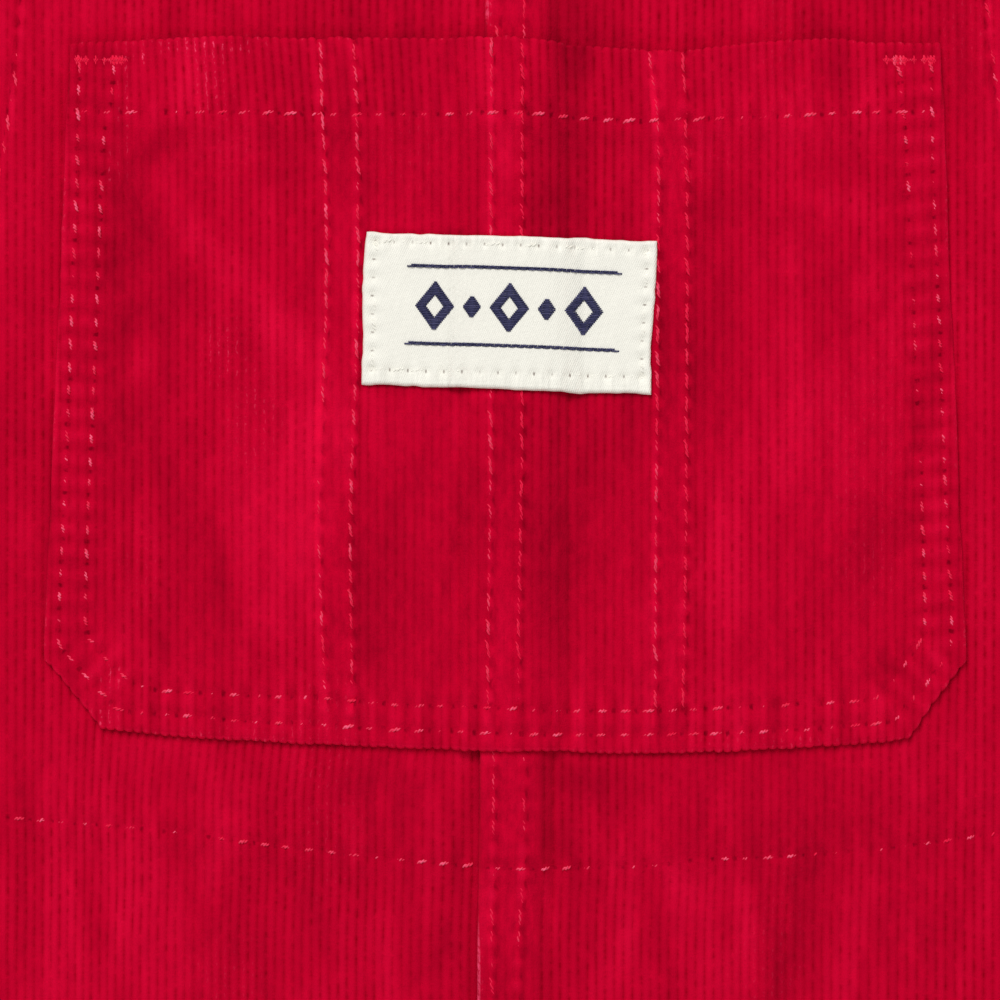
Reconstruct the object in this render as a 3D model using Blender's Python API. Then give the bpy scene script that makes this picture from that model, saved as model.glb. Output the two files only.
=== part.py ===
"""Child's pinafore dress in fine corduroy, laid flat on its back with the front up.

Metres. X runs across the garment (the wearer's left is +X), Y runs from the hem up to the
shoulders, and Z is up from the surface it lies on. The origin is at the middle of the garment's
bounding box in X and Y, on that surface.

Every panel is a wall of cloth made from a grid of points, with a lower and an upper height at each.
What lies on a panel takes its lower heights from the panel's upper ones, moved out by SEAM_GAP.
"""

import math

import bmesh
import bpy

# Outline of the garment, shared by the front and the back.
LENGTH = 0.600  # from the fold of the straps at the shoulder to the hem's lowest point
BIB_TOP = 0.230  # Y of the bib's top edge
BIB_HALF = 0.090  # half the bib's width at its top
UNDERARM = 0.062  # Y where the armhole meets the side seam
UNDERARM_HALF = 0.155
ARMHOLE_POWER = 2.6  # how fast the armhole turns from the underarm up along the bib
HEM_HALF = 0.215
SIDE_BOW = 0.004  # how far the side seam swings outside the straight line
HEM_RISE = 0.015  # how much higher the hem is at the side seams than at the centre
BACK_TOP = 0.250  # Y of the back's top edge where the straps start
BACK_SCOOP = 0.007  # how far the back's top edge dips at the centre

# Cloth.
CLOTH = 0.0012  # one layer of corduroy
FACING = 0.0006  # the facing behind the bodice, down to its row of stitching
SEAM_GAP = 0.0003
HEM_DEPTH = 0.026  # turned up at the bottom
TOP_HEM_DEPTH = 0.012  # turned in along the bib's top edge
FACING_EDGE = 0.0435  # Y of the facing's lower edge at the centre
FACING_CURVE = 1.2  # rise of that edge, in metres for each square metre away from the centre
LAYER_EDGE = 0.002  # half the width over which a hidden layer's edge fades out
LOFT = 0.0008  # how far the front stands off the back between the side seams

# Centre-front lapped seam: the front_left panel lies over the front_right panel's allowance.
LAP_FOLD = -0.0035  # X of the folded edge that shows
LAP_HIDDEN = 0.0061  # X where the allowance underneath ends
LAP_RAMP = 0.0018  # width of cloth that climbs over the allowance's edge

# Soft folds of the skirt's front. Each runs from the hem up to top_y and dies out there.
FOLD_COLUMNS = ("hem_x", "top_x", "half_width", "height", "top_y")
FOLDS = (
    (-0.171, -0.120, 0.015, 0.0020, 0.010),
    (-0.112, -0.083, 0.021, 0.0026, 0.035),
    (-0.049, -0.040, 0.016, 0.0017, -0.060),
    (0.032, 0.026, 0.020, 0.0024, 0.000),
    (0.093, 0.071, 0.017, 0.0019, 0.020),
    (0.158, 0.112, 0.021, 0.0026, -0.015),
)

# Pocket on the bib.
POCKET_TOP = 0.188
POCKET_BOTTOM = 0.0637  # Y of the bottom edge at the centre
POCKET_TOP_HALF = 0.0760
POCKET_LOW_HALF = 0.0805  # half-width at the corner where the clip starts
POCKET_CLIP = 0.0116  # width of the clipped bottom corner
POCKET_CLIP_TOP = 0.0798  # Y where the clip starts
POCKET_BOW = 0.0044  # how much higher the bottom edge is at the clips than at the centre
POCKET_HEM = 0.013  # turned down along the mouth
POCKET_HEM_LAYER = 0.0009  # thickness that the hem adds
POCKET_SHARES = (0.0, 0.12, 0.25, 0.38, 0.5, 0.62, 0.75)  # rows of points below the hem
POCKET_EASE = 0.0004  # how far the pocket stands off the bib at its middle

# Label on the pocket, turned a little.
LABEL_CENTRE = (0.0007, 0.1405)
LABEL_SIZE = (0.0502, 0.0262)
LABEL_TURN = math.radians(-2.1)
LABEL_THICKNESS = 0.0010
LABEL_BRIDGE = 0.0018  # how far across the label looks for the highest cloth under it

# Straps and buttons.
STRAP_X = 0.062
STRAP_WIDTH = 0.034
STRAP_THICKNESS = 0.0022
STRAP_TIP = 0.1985  # Y of the front end
STRAP_TIP_RADIUS = 0.006
STRAP_LAYER_GAP = 0.0007  # between the strap's two layers just inside the shoulder fold
STRAP_LEVEL_RUN = 0.003  # how far past the bib's edge the strap stays level
STRAP_FOLD_RUN = 0.012  # length before the shoulder fold where the strap is down again
STRAP_STEP = 0.0095
STRAP_CORNER_STEPS = 4
STRAP_FOLD_STEPS = 8
STRAP_SHARES = (-1.0, -0.34, 0.34, 1.0)  # points across the ribbon, as shares of its half-width
BUTTON_Y = 0.2135
BUTTON_RADIUS = 0.0085
BUTTON_HEIGHT = 0.0030
BUTTON_EDGE = 0.0008  # rounding of the button's outer edge
BUTTON_RIM = 0.0016
BUTTON_DISH = 0.0009
BUTTON_HOLE_RADIUS = 0.0009
BUTTON_HOLE_OFFSET = 0.0016
BUTTON_STEPS = 24

# Spacing of the points that the walls are made from.
PANEL_STEP = 0.0215
SKIRT_COLUMNS = 15  # from the lapped seam to the side, in each front half
BACK_COLUMNS = 16
POCKET_STEP = 0.0095
SHARP_ANGLE = math.radians(40)

SHOULDER = LENGTH / 2
HEM = -LENGTH / 2

# Colours are linear RGB.
RED = (0.500, 0.0022, 0.0212)
CREAM = (0.880, 0.860, 0.780)
DARK_RED = (0.420, 0.0030, 0.0200)


def smooth_step(value, start, end):
    """0 before start, 1 after end, and a smooth rise between them."""
    t = min(max((value - start) / (end - start), 0.0), 1.0)
    return t * t * (3 - 2 * t)


def ramp(value, start, end):
    """0 before start, 1 after end, and a straight rise between them."""
    return min(max((value - start) / (end - start), 0.0), 1.0)


# ---- Shape of the garment ----


def half_width(level):
    """Half the garment's width at this level: skirt below the underarm, bodice above it."""
    if level <= UNDERARM:
        t = (level - HEM) / (UNDERARM - HEM)
        straight = HEM_HALF + (UNDERARM_HALF - HEM_HALF) * t
        return straight - SIDE_BOW * math.sin(math.pi * t)
    t = min((level - UNDERARM) / (BIB_TOP - UNDERARM), 1.0)
    return BIB_HALF + (UNDERARM_HALF - BIB_HALF) * (1 - t) ** ARMHOLE_POWER


def place(across, level):
    """X and Y of a point: across is -1 to 1 from side to side, and the hem's curve fades upwards."""
    rise = HEM_RISE * smooth_step(UNDERARM - level, 0.0, UNDERARM - HEM)
    return across * half_width(level), level + rise * across**2


def hem_layer(level):
    """Thickness that the turned-up hem adds."""
    fold_line = HEM + HEM_DEPTH
    return CLOTH * (1 - smooth_step(level, fold_line - LAYER_EDGE, fold_line + LAYER_EDGE))


def facing_layer(x, y):
    """Thickness that the facing adds above its curved lower edge."""
    edge = FACING_EDGE + FACING_CURVE * x * x
    return FACING * smooth_step(y, edge - LAYER_EDGE, edge + LAYER_EDGE)


def back_wall(x, y, level):
    return CLOTH + hem_layer(level) + facing_layer(x, y)


def front_wall(x, y, level):
    top_fold = BIB_TOP - TOP_HEM_DEPTH
    top_hem = (CLOTH - FACING) * ramp(level, top_fold - LAYER_EDGE, top_fold)
    return CLOTH + hem_layer(level) + facing_layer(x, y) + top_hem


def fold_height(x, level):
    """Height of the skirt's soft folds at a point."""
    total = 0.0
    for row in FOLDS:
        fold = dict(zip(FOLD_COLUMNS, row))
        along = (level - HEM) / (fold["top_y"] - HEM)
        if along >= 1:
            continue
        centre = fold["hem_x"] + (fold["top_x"] - fold["hem_x"]) * along
        across = (x - centre) / fold["half_width"]
        total += fold["height"] * (1 - along) ** 0.8 * math.exp(-across * across)
    return total


def front_stand_off(x, level):
    """How far the front's lower face stands off the back's upper face."""
    across = abs(x) / half_width(level)
    edge_fade = 1 - min(across, 1.0) ** 4
    return SEAM_GAP + (LOFT + fold_height(x, level)) * edge_fade


def front_floor(x, y, level):
    """Lower face of the front, leaving out the lap at the centre."""
    return back_wall(x, y, level) + front_stand_off(x, level)


def lap_rise(x, y, level):
    """How far the lapping panel is raised by the allowance under it."""
    step = front_wall(x, y, level) + SEAM_GAP
    clear = LAP_HIDDEN + SEAM_GAP
    return step * (1 - ramp(x, clear, clear + LAP_RAMP))


def front_top(x, y, level):
    """Upper face of the whole front, with the lap, and with cloth on it bridging the lap's step."""
    height = front_floor(x, y, level) + front_wall(x, y, level)
    if x > LAP_FOLD - SEAM_GAP:
        return height + lap_rise(x, y, level)
    step = front_wall(x, y, level) + SEAM_GAP
    return height + step * ramp(x, LAP_FOLD - SEAM_GAP - LAP_RAMP, LAP_FOLD - SEAM_GAP)


def lap_columns():
    """X of the corners of the lapped seam's profile, which cloth lying on it follows."""
    clear = LAP_HIDDEN + SEAM_GAP
    return [LAP_FOLD - SEAM_GAP - LAP_RAMP, LAP_FOLD - SEAM_GAP, clear, clear + LAP_RAMP]


# ---- Solids ----


def levels(start, end, marks, step):
    """Levels from start to end: every mark, and even steps between them no longer than step."""
    stops = sorted({start, end, *(m for m in marks if start < m < end)})
    found = [stops[0]]
    for low, high in zip(stops, stops[1:]):
        count = max(1, math.ceil((high - low) / step))
        found += [low + (high - low) * i / count for i in range(1, count + 1)]
    return found


def material(name, colour, roughness):
    made = bpy.data.materials.new(name)
    made.use_nodes = True
    shader = made.node_tree.nodes["Principled BSDF"]
    shader.inputs["Base Color"].default_value = (*colour, 1.0)
    shader.inputs["Roughness"].default_value = roughness
    shader.inputs["Metallic"].default_value = 0.0
    return made


def add_object(name, mesh, finish):
    mesh.materials.append(finish)
    made = bpy.data.objects.new(name, mesh)
    bpy.context.scene.collection.objects.link(made)
    return made


def finished_mesh(name, form):
    """The form as a mesh that is smooth apart from its sharp edges."""
    mesh = bpy.data.meshes.new(name)
    form.to_mesh(mesh)
    form.free()
    mesh.shade_smooth()
    mesh.set_sharp_from_angle(angle=SHARP_ANGLE)
    return mesh


def wall_object(name, grid, finish):
    """A closed wall from a grid of (x, y, lower height, upper height), rows running up in Y."""
    form = bmesh.new()
    lower = [[form.verts.new((x, y, low)) for x, y, low, _ in row] for row in grid]
    upper = [[form.verts.new((x, y, high)) for x, y, _, high in row] for row in grid]
    for i in range(len(grid) - 1):
        for j in range(len(grid[0]) - 1):
            corners = ((i, j), (i, j + 1), (i + 1, j + 1), (i + 1, j))
            form.faces.new([upper[a][b] for a, b in corners])
            form.faces.new([lower[a][b] for a, b in reversed(corners)])
    last_row = len(grid) - 1
    last_column = len(grid[0]) - 1
    rim = [(0, j) for j in range(last_column)]
    rim += [(i, last_column) for i in range(last_row)]
    rim += [(last_row, j) for j in range(last_column, 0, -1)]
    rim += [(i, 0) for i in range(last_row, 0, -1)]
    for (a, b), (c, d) in zip(rim, rim[1:] + rim[:1]):
        form.faces.new((lower[a][b], lower[c][d], upper[c][d], upper[a][b]))
    bmesh.ops.remove_doubles(form, verts=form.verts, dist=1e-6)
    bmesh.ops.triangulate(form, faces=form.faces, quad_method="SHORT_EDGE")
    return add_object(name, finished_mesh(name, form), finish)


def make_back(finish):
    """The back lies flat on the surface. Its top edge dips between the straps."""
    grid = []
    marks = (HEM + HEM_DEPTH - LAYER_EDGE, HEM + HEM_DEPTH + LAYER_EDGE, UNDERARM, BIB_TOP)
    strap_side = STRAP_X - STRAP_WIDTH / 2
    for level in levels(HEM, BACK_TOP, marks, PANEL_STEP):
        row = []
        for step in range(BACK_COLUMNS + 1):
            x, y = place(2 * step / BACK_COLUMNS - 1, level)
            if level > BIB_TOP:
                dip = BACK_SCOOP * (1 - smooth_step(abs(x), 0.0, strap_side))
                y -= dip * (level - BIB_TOP) / (BACK_TOP - BIB_TOP)
            row.append((x, y, 0.0, back_wall(x, y, level)))
        grid.append(row)
    return wall_object("back", grid, finish)


def make_front(name, side, finish):
    """One half of the front. Only the +X half climbs over the other at the lapped seam."""
    before, start, clear, end = lap_columns()
    middle = (LAP_FOLD + LAP_HIDDEN) / 2
    fixed = [LAP_FOLD, middle, clear, end] if side > 0 else [LAP_HIDDEN, middle, start, before]
    grid = []
    marks = (HEM + HEM_DEPTH - LAYER_EDGE, HEM + HEM_DEPTH + LAYER_EDGE, FACING_EDGE, UNDERARM)
    marks += (BIB_TOP - TOP_HEM_DEPTH - LAYER_EDGE, BIB_TOP - TOP_HEM_DEPTH)
    for level in levels(HEM, BIB_TOP, marks, PANEL_STEP):
        edge = half_width(level)
        columns = list(fixed)
        for step in range(1, SKIRT_COLUMNS + 1):
            columns.append(fixed[-1] + (side * edge - fixed[-1]) * step / SKIRT_COLUMNS)
        row = []
        for column in columns:
            x, y = place(column / edge, level)
            low = front_floor(x, y, level)
            if side > 0:
                low += lap_rise(x, y, level)
            row.append((x, y, low, low + front_wall(x, y, level)))
        grid.append(row if side > 0 else row[::-1])
    return wall_object(name, grid, finish)


def pocket_edges(x):
    """Y of the pocket's bottom and top edges on the line of the grain at x."""
    away = min(abs(x), POCKET_LOW_HALF)
    clip_start = POCKET_LOW_HALF - POCKET_CLIP
    bottom = POCKET_BOTTOM + POCKET_BOW * (min(away, clip_start) / clip_start) ** 2
    if away > clip_start:
        t = (away - clip_start) / POCKET_CLIP
        bottom += (POCKET_CLIP_TOP - bottom) * t
    top = POCKET_TOP
    if away > POCKET_TOP_HALF:
        t = (away - POCKET_TOP_HALF) / (POCKET_LOW_HALF - POCKET_TOP_HALF)
        top += (POCKET_CLIP_TOP - POCKET_TOP) * t
    return bottom, top


def pocket_floor(x, y):
    """Lower face of the pocket: the bib's upper face moved out, and a little ease in the middle."""
    bottom, top = pocket_edges(x)
    inside = max(0.0, (y - bottom) * (top - y) / (0.5 * (POCKET_TOP - POCKET_BOTTOM)) ** 2)
    across = 1 - (min(abs(x), POCKET_LOW_HALF) / POCKET_LOW_HALF) ** 2
    return front_top(x, y, y) + SEAM_GAP + POCKET_EASE * inside * across


def pocket_wall(y):
    """The mouth's hem is two layers, pressed together."""
    hem_line = POCKET_TOP - POCKET_HEM
    return CLOTH + POCKET_HEM_LAYER * smooth_step(y, hem_line - LAYER_EDGE, hem_line)


def make_pocket(finish):
    """The patch pocket. Its rows of points are shares of its height, and two at the hem's edge."""
    clip_start = POCKET_LOW_HALF - POCKET_CLIP
    stops = [-POCKET_TOP_HALF, -clip_start, *lap_columns(), clip_start, POCKET_TOP_HALF]
    columns = levels(-POCKET_LOW_HALF, POCKET_LOW_HALF, stops, POCKET_STEP)
    height = POCKET_TOP - POCKET_BOTTOM
    hem_shares = (1 - (POCKET_HEM + LAYER_EDGE) / height, 1 - POCKET_HEM / height)
    grid = []
    for share in (*POCKET_SHARES, *hem_shares, 1.0):
        row = []
        for x in columns:
            bottom, top = pocket_edges(x)
            y = bottom + (top - bottom) * share
            low = pocket_floor(x, y)
            row.append((x, y, low, low + pocket_wall(y)))
        grid.append(row)
    return wall_object("pocket", grid, finish)


def make_label(finish):
    """A thin woven rectangle on the pocket, turned a little about its centre."""
    width, height = LABEL_SIZE
    cosine, sine = math.cos(LABEL_TURN), math.sin(LABEL_TURN)
    columns = levels(-width / 2, width / 2, [x - LABEL_CENTRE[0] for x in lap_columns()], 0.009)
    grid = []
    for v in levels(-height / 2, height / 2, (), 0.009):
        row = []
        for u in columns:
            x = LABEL_CENTRE[0] + u * cosine - v * sine
            y = LABEL_CENTRE[1] + u * sine + v * cosine
            near = [x - LABEL_BRIDGE, x, x + LABEL_BRIDGE]
            low = max(pocket_floor(place, y) for place in near) + pocket_wall(y) + SEAM_GAP
            row.append((x, y, low, low + LABEL_THICKNESS))
        grid.append(row)
    return wall_object("label", grid, finish)


def strap_floor(x, y):
    """Lower face of the strap's upper run: on the bib, level past its edge, then down to the fold."""
    on_bib = front_top(x, min(y, BIB_TOP), min(y, BIB_TOP)) + SEAM_GAP
    at_fold = STRAP_THICKNESS + STRAP_LAYER_GAP
    down = smooth_step(y, BIB_TOP + STRAP_LEVEL_RUN, SHOULDER - STRAP_FOLD_RUN)
    return on_bib + (at_fold - on_bib) * down


def strap_sections():
    """Sections of the ribbon, from its rounded front tip round the shoulder fold to the back's edge.

    Each is (half-width, inner Y, outer Y, inner height, outer height). The heights are None where
    the ribbon follows the cloth under it."""
    sections = []
    corner = STRAP_TIP_RADIUS
    full = STRAP_WIDTH / 2
    for step in range(STRAP_CORNER_STEPS + 1):
        away = corner * (1 - math.cos(math.pi / 2 * step / STRAP_CORNER_STEPS))
        inset = corner - math.sqrt(max(corner**2 - (corner - away) ** 2, 0.0))
        sections.append((full - inset, STRAP_TIP + away, STRAP_TIP + away, None, None))
    inner_radius = STRAP_LAYER_GAP / 2
    outer_radius = inner_radius + STRAP_THICKNESS
    fold_y = SHOULDER - outer_radius
    for y in levels(STRAP_TIP + corner, fold_y, (BIB_TOP, BIB_TOP + STRAP_LEVEL_RUN), STRAP_STEP)[1:]:
        sections.append((full, y, y, None, None))
    for step in range(1, STRAP_FOLD_STEPS):
        angle = math.pi / 2 - math.pi * step / STRAP_FOLD_STEPS
        reach, lift = math.cos(angle), math.sin(angle)
        sections.append(
            (
                full,
                fold_y + inner_radius * reach,
                fold_y + outer_radius * reach,
                outer_radius + inner_radius * lift,
                outer_radius + outer_radius * lift,
            )
        )
    for y in (fold_y, BACK_TOP + SEAM_GAP):
        sections.append((full, y, y, STRAP_THICKNESS, 0.0))
    return sections


def make_strap(name, side, finish):
    """A flat ribbon folded over at the shoulder. It starts at the back's top edge."""
    form = bmesh.new()
    rings = []
    for half, inner_y, outer_y, inner_z, outer_z in strap_sections():
        inner, outer = [], []
        for share in STRAP_SHARES:
            x = side * STRAP_X + share * half
            low = strap_floor(x, inner_y) if inner_z is None else inner_z
            high = low + STRAP_THICKNESS if outer_z is None else outer_z
            inner.append(form.verts.new((x, inner_y, low)))
            outer.append(form.verts.new((x, outer_y, high)))
        rings.append(outer + inner[::-1])
    for first, second in zip(rings, rings[1:]):
        for k in range(len(first)):
            n = (k + 1) % len(first)
            form.faces.new((first[k], first[n], second[n], second[k]))
    form.faces.new(rings[0][::-1])
    form.faces.new(rings[-1])
    bmesh.ops.triangulate(form, faces=form.faces)
    bmesh.ops.recalc_face_normals(form, faces=form.faces)
    return add_object(name, finished_mesh(name, form), finish)


def button_mesh():
    """A turned disc with a raised round rim and a dished middle."""
    outline = (
        (0.0, 0.0),
        (BUTTON_RADIUS - BUTTON_EDGE, 0.0),
        (BUTTON_RADIUS, BUTTON_EDGE),
        (BUTTON_RADIUS, BUTTON_HEIGHT - BUTTON_EDGE),
        (BUTTON_RADIUS - BUTTON_EDGE, BUTTON_HEIGHT),
        (BUTTON_RADIUS - BUTTON_RIM, BUTTON_HEIGHT),
        (BUTTON_RADIUS - BUTTON_RIM - BUTTON_EDGE, BUTTON_HEIGHT - BUTTON_DISH),
        (0.0, BUTTON_HEIGHT - BUTTON_DISH),
    )
    form = bmesh.new()
    verts = [form.verts.new((radius, 0.0, z)) for radius, z in outline]
    edges = [form.edges.new(pair) for pair in zip(verts, verts[1:])]
    bmesh.ops.spin(
        form,
        geom=verts + edges,
        cent=(0, 0, 0),
        axis=(0, 0, 1),
        angle=2 * math.pi,
        steps=BUTTON_STEPS,
        use_merge=True,
    )
    bmesh.ops.remove_doubles(form, verts=form.verts, dist=1e-6)
    bmesh.ops.recalc_face_normals(form, faces=form.faces)
    return finished_mesh("button", form)


def hole_cutter():
    """Four thread holes, as one cutter that stays out of the garment."""
    form = bmesh.new()
    for step in range(4):
        angle = math.pi / 4 + math.pi / 2 * step
        made = bmesh.ops.create_cone(
            form,
            cap_ends=True,
            segments=8,
            radius1=BUTTON_HOLE_RADIUS,
            radius2=BUTTON_HOLE_RADIUS,
            depth=3 * BUTTON_HEIGHT,
        )
        offset = BUTTON_HOLE_OFFSET * math.sqrt(2)
        shift = (offset * math.cos(angle), offset * math.sin(angle), 0.0)
        bmesh.ops.translate(form, verts=made["verts"], vec=shift)
    mesh = bpy.data.meshes.new("button_holes")
    form.to_mesh(mesh)
    form.free()
    cutter = bpy.data.objects.new("button_holes", mesh)
    bpy.context.scene.collection.objects.link(cutter)
    cutter.hide_render = True
    cutter.display_type = "WIRE"
    return cutter


def make_button(name, side, finish):
    """The button sits on the highest point of the strap under it."""
    x = side * STRAP_X
    seat = 0.0
    for step in range(BUTTON_STEPS):
        angle = 2 * math.pi * step / BUTTON_STEPS
        point_x = x + BUTTON_RADIUS * math.cos(angle)
        point_y = BUTTON_Y + BUTTON_RADIUS * math.sin(angle)
        seat = max(seat, strap_floor(point_x, point_y) + STRAP_THICKNESS)
    button = add_object(name, button_mesh(), finish)
    button.location = (x, BUTTON_Y, seat + SEAM_GAP)
    cutter = hole_cutter()
    cutter.location = button.location
    cut = button.modifiers.new("thread holes", "BOOLEAN")
    cut.operation = "DIFFERENCE"
    cut.object = cutter
    return button


def main():
    for old in list(bpy.data.objects):
        bpy.data.objects.remove(old)
    corduroy = material("corduroy", RED, 0.9)
    woven = material("woven label", CREAM, 0.7)
    shell = material("button", DARK_RED, 0.35)
    make_back(corduroy)
    make_front("front_right", -1, corduroy)
    make_front("front_left", 1, corduroy)
    make_pocket(corduroy)
    make_label(woven)
    for name, side in (("right", -1), ("left", 1)):
        make_strap("strap_" + name, side, corduroy)
        make_button("button_" + name, side, shell)


main()
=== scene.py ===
"""Looks of a child's pinafore dress in fine red corduroy, laid flat with its front up.

Metres. X runs across the garment, Y from the hem up to the shoulders, and Z up from the surface it
lies on. Places in tables whose names end in _MM are in millimetres.

Each panel is a shell of cloth on the form of the solid it stands for. Its columns of points run along
the grain, so every wale of the fronts, pocket and straps is real relief (the back's wales are only
in its shader), and its rows of points follow the stitching.
"""

import math
from collections import namedtuple

import bmesh
import bpy
import numpy as np
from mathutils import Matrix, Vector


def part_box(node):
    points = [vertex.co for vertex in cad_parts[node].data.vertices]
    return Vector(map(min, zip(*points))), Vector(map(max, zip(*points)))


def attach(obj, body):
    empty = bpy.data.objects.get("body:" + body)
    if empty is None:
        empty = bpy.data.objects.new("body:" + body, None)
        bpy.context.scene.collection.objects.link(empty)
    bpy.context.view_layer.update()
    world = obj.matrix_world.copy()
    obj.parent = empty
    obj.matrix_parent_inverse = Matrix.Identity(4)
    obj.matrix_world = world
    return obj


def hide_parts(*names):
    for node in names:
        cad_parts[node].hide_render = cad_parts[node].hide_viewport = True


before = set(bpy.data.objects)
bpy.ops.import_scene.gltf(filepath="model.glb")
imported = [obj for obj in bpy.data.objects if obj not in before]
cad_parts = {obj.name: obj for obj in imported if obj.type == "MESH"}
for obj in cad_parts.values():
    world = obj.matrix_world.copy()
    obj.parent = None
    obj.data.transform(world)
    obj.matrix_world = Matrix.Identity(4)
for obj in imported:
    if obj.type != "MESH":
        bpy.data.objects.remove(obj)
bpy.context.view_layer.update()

MM = 0.001
BODY = "root"

# ---- Sizes of the garment, as in its solids ----

LENGTH = 0.600
BIB_TOP = 0.230
BIB_HALF = 0.090
UNDERARM = 0.062
UNDERARM_HALF = 0.155
ARMHOLE_POWER = 2.6
HEM_HALF = 0.215
SIDE_BOW = 0.004
HEM_RISE = 0.015
BACK_TOP = 0.250
BACK_SCOOP = 0.007
SHOULDER = LENGTH / 2
HEM = -LENGTH / 2

CLOTH = 0.0012
FACING = 0.0006
SEAM_GAP = 0.0003
HEM_DEPTH = 0.026
TOP_HEM_DEPTH = 0.012
FACING_EDGE = 0.0435
FACING_CURVE = 1.2
LAYER_EDGE = 0.002
FACING_BLEND = 0.006  # cloth drapes softly over the facing's edge
LOFT = 0.0008

LAP_FOLD = -0.0035
LAP_HIDDEN = 0.0061
LAP_RAMP = 0.0018

FOLD_COLUMNS = ("hem_x", "top_x", "half_width", "height", "top_y")
FOLDS = (
    (-0.171, -0.120, 0.015, 0.0020, 0.010),
    (-0.112, -0.083, 0.021, 0.0026, 0.035),
    (-0.049, -0.040, 0.016, 0.0017, -0.060),
    (0.032, 0.026, 0.020, 0.0024, 0.000),
    (0.093, 0.071, 0.017, 0.0019, 0.020),
    (0.158, 0.112, 0.021, 0.0026, -0.015),
)
FOLD_FADE = 0.8

POCKET_TOP = 0.188
POCKET_BOTTOM = 0.0637
POCKET_TOP_HALF = 0.0760
POCKET_LOW_HALF = 0.0805
POCKET_CLIP = 0.0098
POCKET_CLIP_TOP = 0.0798
POCKET_HEM = 0.013
POCKET_HEM_LAYER = 0.0009
POCKET_HEM_BLEND = 0.008
POCKET_HEM_EDGE = 0.0005
POCKET_EASE = 0.0004

LABEL_CENTRE = (0.0007, 0.1405)
LABEL_SIZE = (0.0502, 0.0262)
LABEL_TURN = math.radians(-2.1)
LABEL_THICKNESS = 0.0010

STRAP_X = 0.062
STRAP_WIDTH = 0.034
STRAP_THICKNESS = 0.0022
STRAP_TIP = 0.1985
STRAP_TIP_RADIUS = 0.006
STRAP_LAYER_GAP = 0.0007
STRAP_LEVEL_RUN = 0.003
STRAP_FOLD_RUN = 0.012
BUTTON_Y = 0.2135
BUTTON_HEIGHT = 0.0030
BUTTON_HOLE_RADIUS = 0.0009
BUTTON_HOLE_OFFSET = 0.0016

# ---- Sizes that only show close up ----

WALE = 1.5875 * MM  # 16 wales to the inch
WALE_HEIGHT = 0.27 * MM
WALE_UNEVEN = 0.30  # share by which a wale's height varies
WALE_STRAY = 0.07 * MM  # how far a wale strays sideways
CREST = 0.10 * MM  # height of the wales' crests over the solid
EDGE_RADIUS = 0.62 * MM  # rounding of a folded edge
STITCH = 4.0 * MM
LABEL_STITCH = 3.2 * MM
SEED = 11


# ---- Small mathematical tools ----

TINY = 1e-9


def smooth_step(value, start, end):
    """0 before start, 1 after end, and a smooth rise between them."""
    t = np.clip((value - start) / (end - start), 0.0, 1.0)
    return t * t * (3 - 2 * t)


def ramp(value, start, end):
    """0 before start, 1 after end, and a straight rise between them."""
    return np.clip((value - start) / (end - start), 0.0, 1.0)


def bell(value, width):
    """1 where the value is 0, and softly down to nothing within about two widths of that."""
    return np.exp(-((value / width) ** 2))


def named_rows(columns, table):
    """Each row of a table as its columns' names and values."""
    return [dict(zip(columns, row)) for row in table]


NOISE_CELLS = 256


def soft_noise(a, b, seed):
    """Smooth noise from -1 to 1 that changes over about one unit of a and of b."""
    lattice = np.random.default_rng(SEED + seed).uniform(-1, 1, (NOISE_CELLS, NOISE_CELLS))
    a, b = np.broadcast_arrays(a, b)
    i, j = np.floor(a).astype(int), np.floor(b).astype(int)
    s, t = smooth_step(a - i, 0, 1), smooth_step(b - j, 0, 1)
    i, j = i % NOISE_CELLS, j % NOISE_CELLS
    p, q = (i + 1) % NOISE_CELLS, (j + 1) % NOISE_CELLS
    near = lattice[i, j] * (1 - s) + lattice[p, j] * s
    far = lattice[i, q] * (1 - s) + lattice[p, q] * s
    return near * (1 - t) + far * t


LINE_SPACING = 0.8 * MM
LINE_STEPS = 12  # between two of the points that a smooth line runs through


def smooth_line(points_mm):
    """A smooth line through points given in millimetres, as evenly spaced points in metres."""
    points = np.array(points_mm, float) * MM
    ends = np.vstack((2 * points[0] - points[1], points, 2 * points[-1] - points[-2]))
    t = np.linspace(0, 1, LINE_STEPS, endpoint=False)[:, None]
    found = []
    for p, q, r, s in zip(ends, ends[1:], ends[2:], ends[3:]):
        bend = (2 * p - 5 * q + 4 * r - s) * t**2 + (3 * q - p - 3 * r + s) * t**3
        found.append(0.5 * (2 * q + (r - p) * t + bend))
    return even_line(np.vstack((*found, points[-1:])), LINE_SPACING)


def line_lengths(line):
    """Distance along a polyline at each of its points."""
    return np.concatenate(([0], np.cumsum(np.hypot(*np.diff(line, axis=0).T))))


def even_line(points, spacing):
    """The same polyline with evenly spaced points."""
    along = line_lengths(points)
    count = max(2, int(round(along[-1] / spacing)) + 1)
    stops = np.linspace(0, along[-1], count)
    return np.column_stack([np.interp(stops, along, points[:, axis]) for axis in (0, 1)])


def curve_of(points_mm):
    """A function that gives Y for X along a line given in millimetres from left to right."""
    line = smooth_line(points_mm)
    return lambda x: np.interp(x, line[:, 0], line[:, 1])


Nearness = namedtuple("Nearness", "distance along out_x out_y right")


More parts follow.
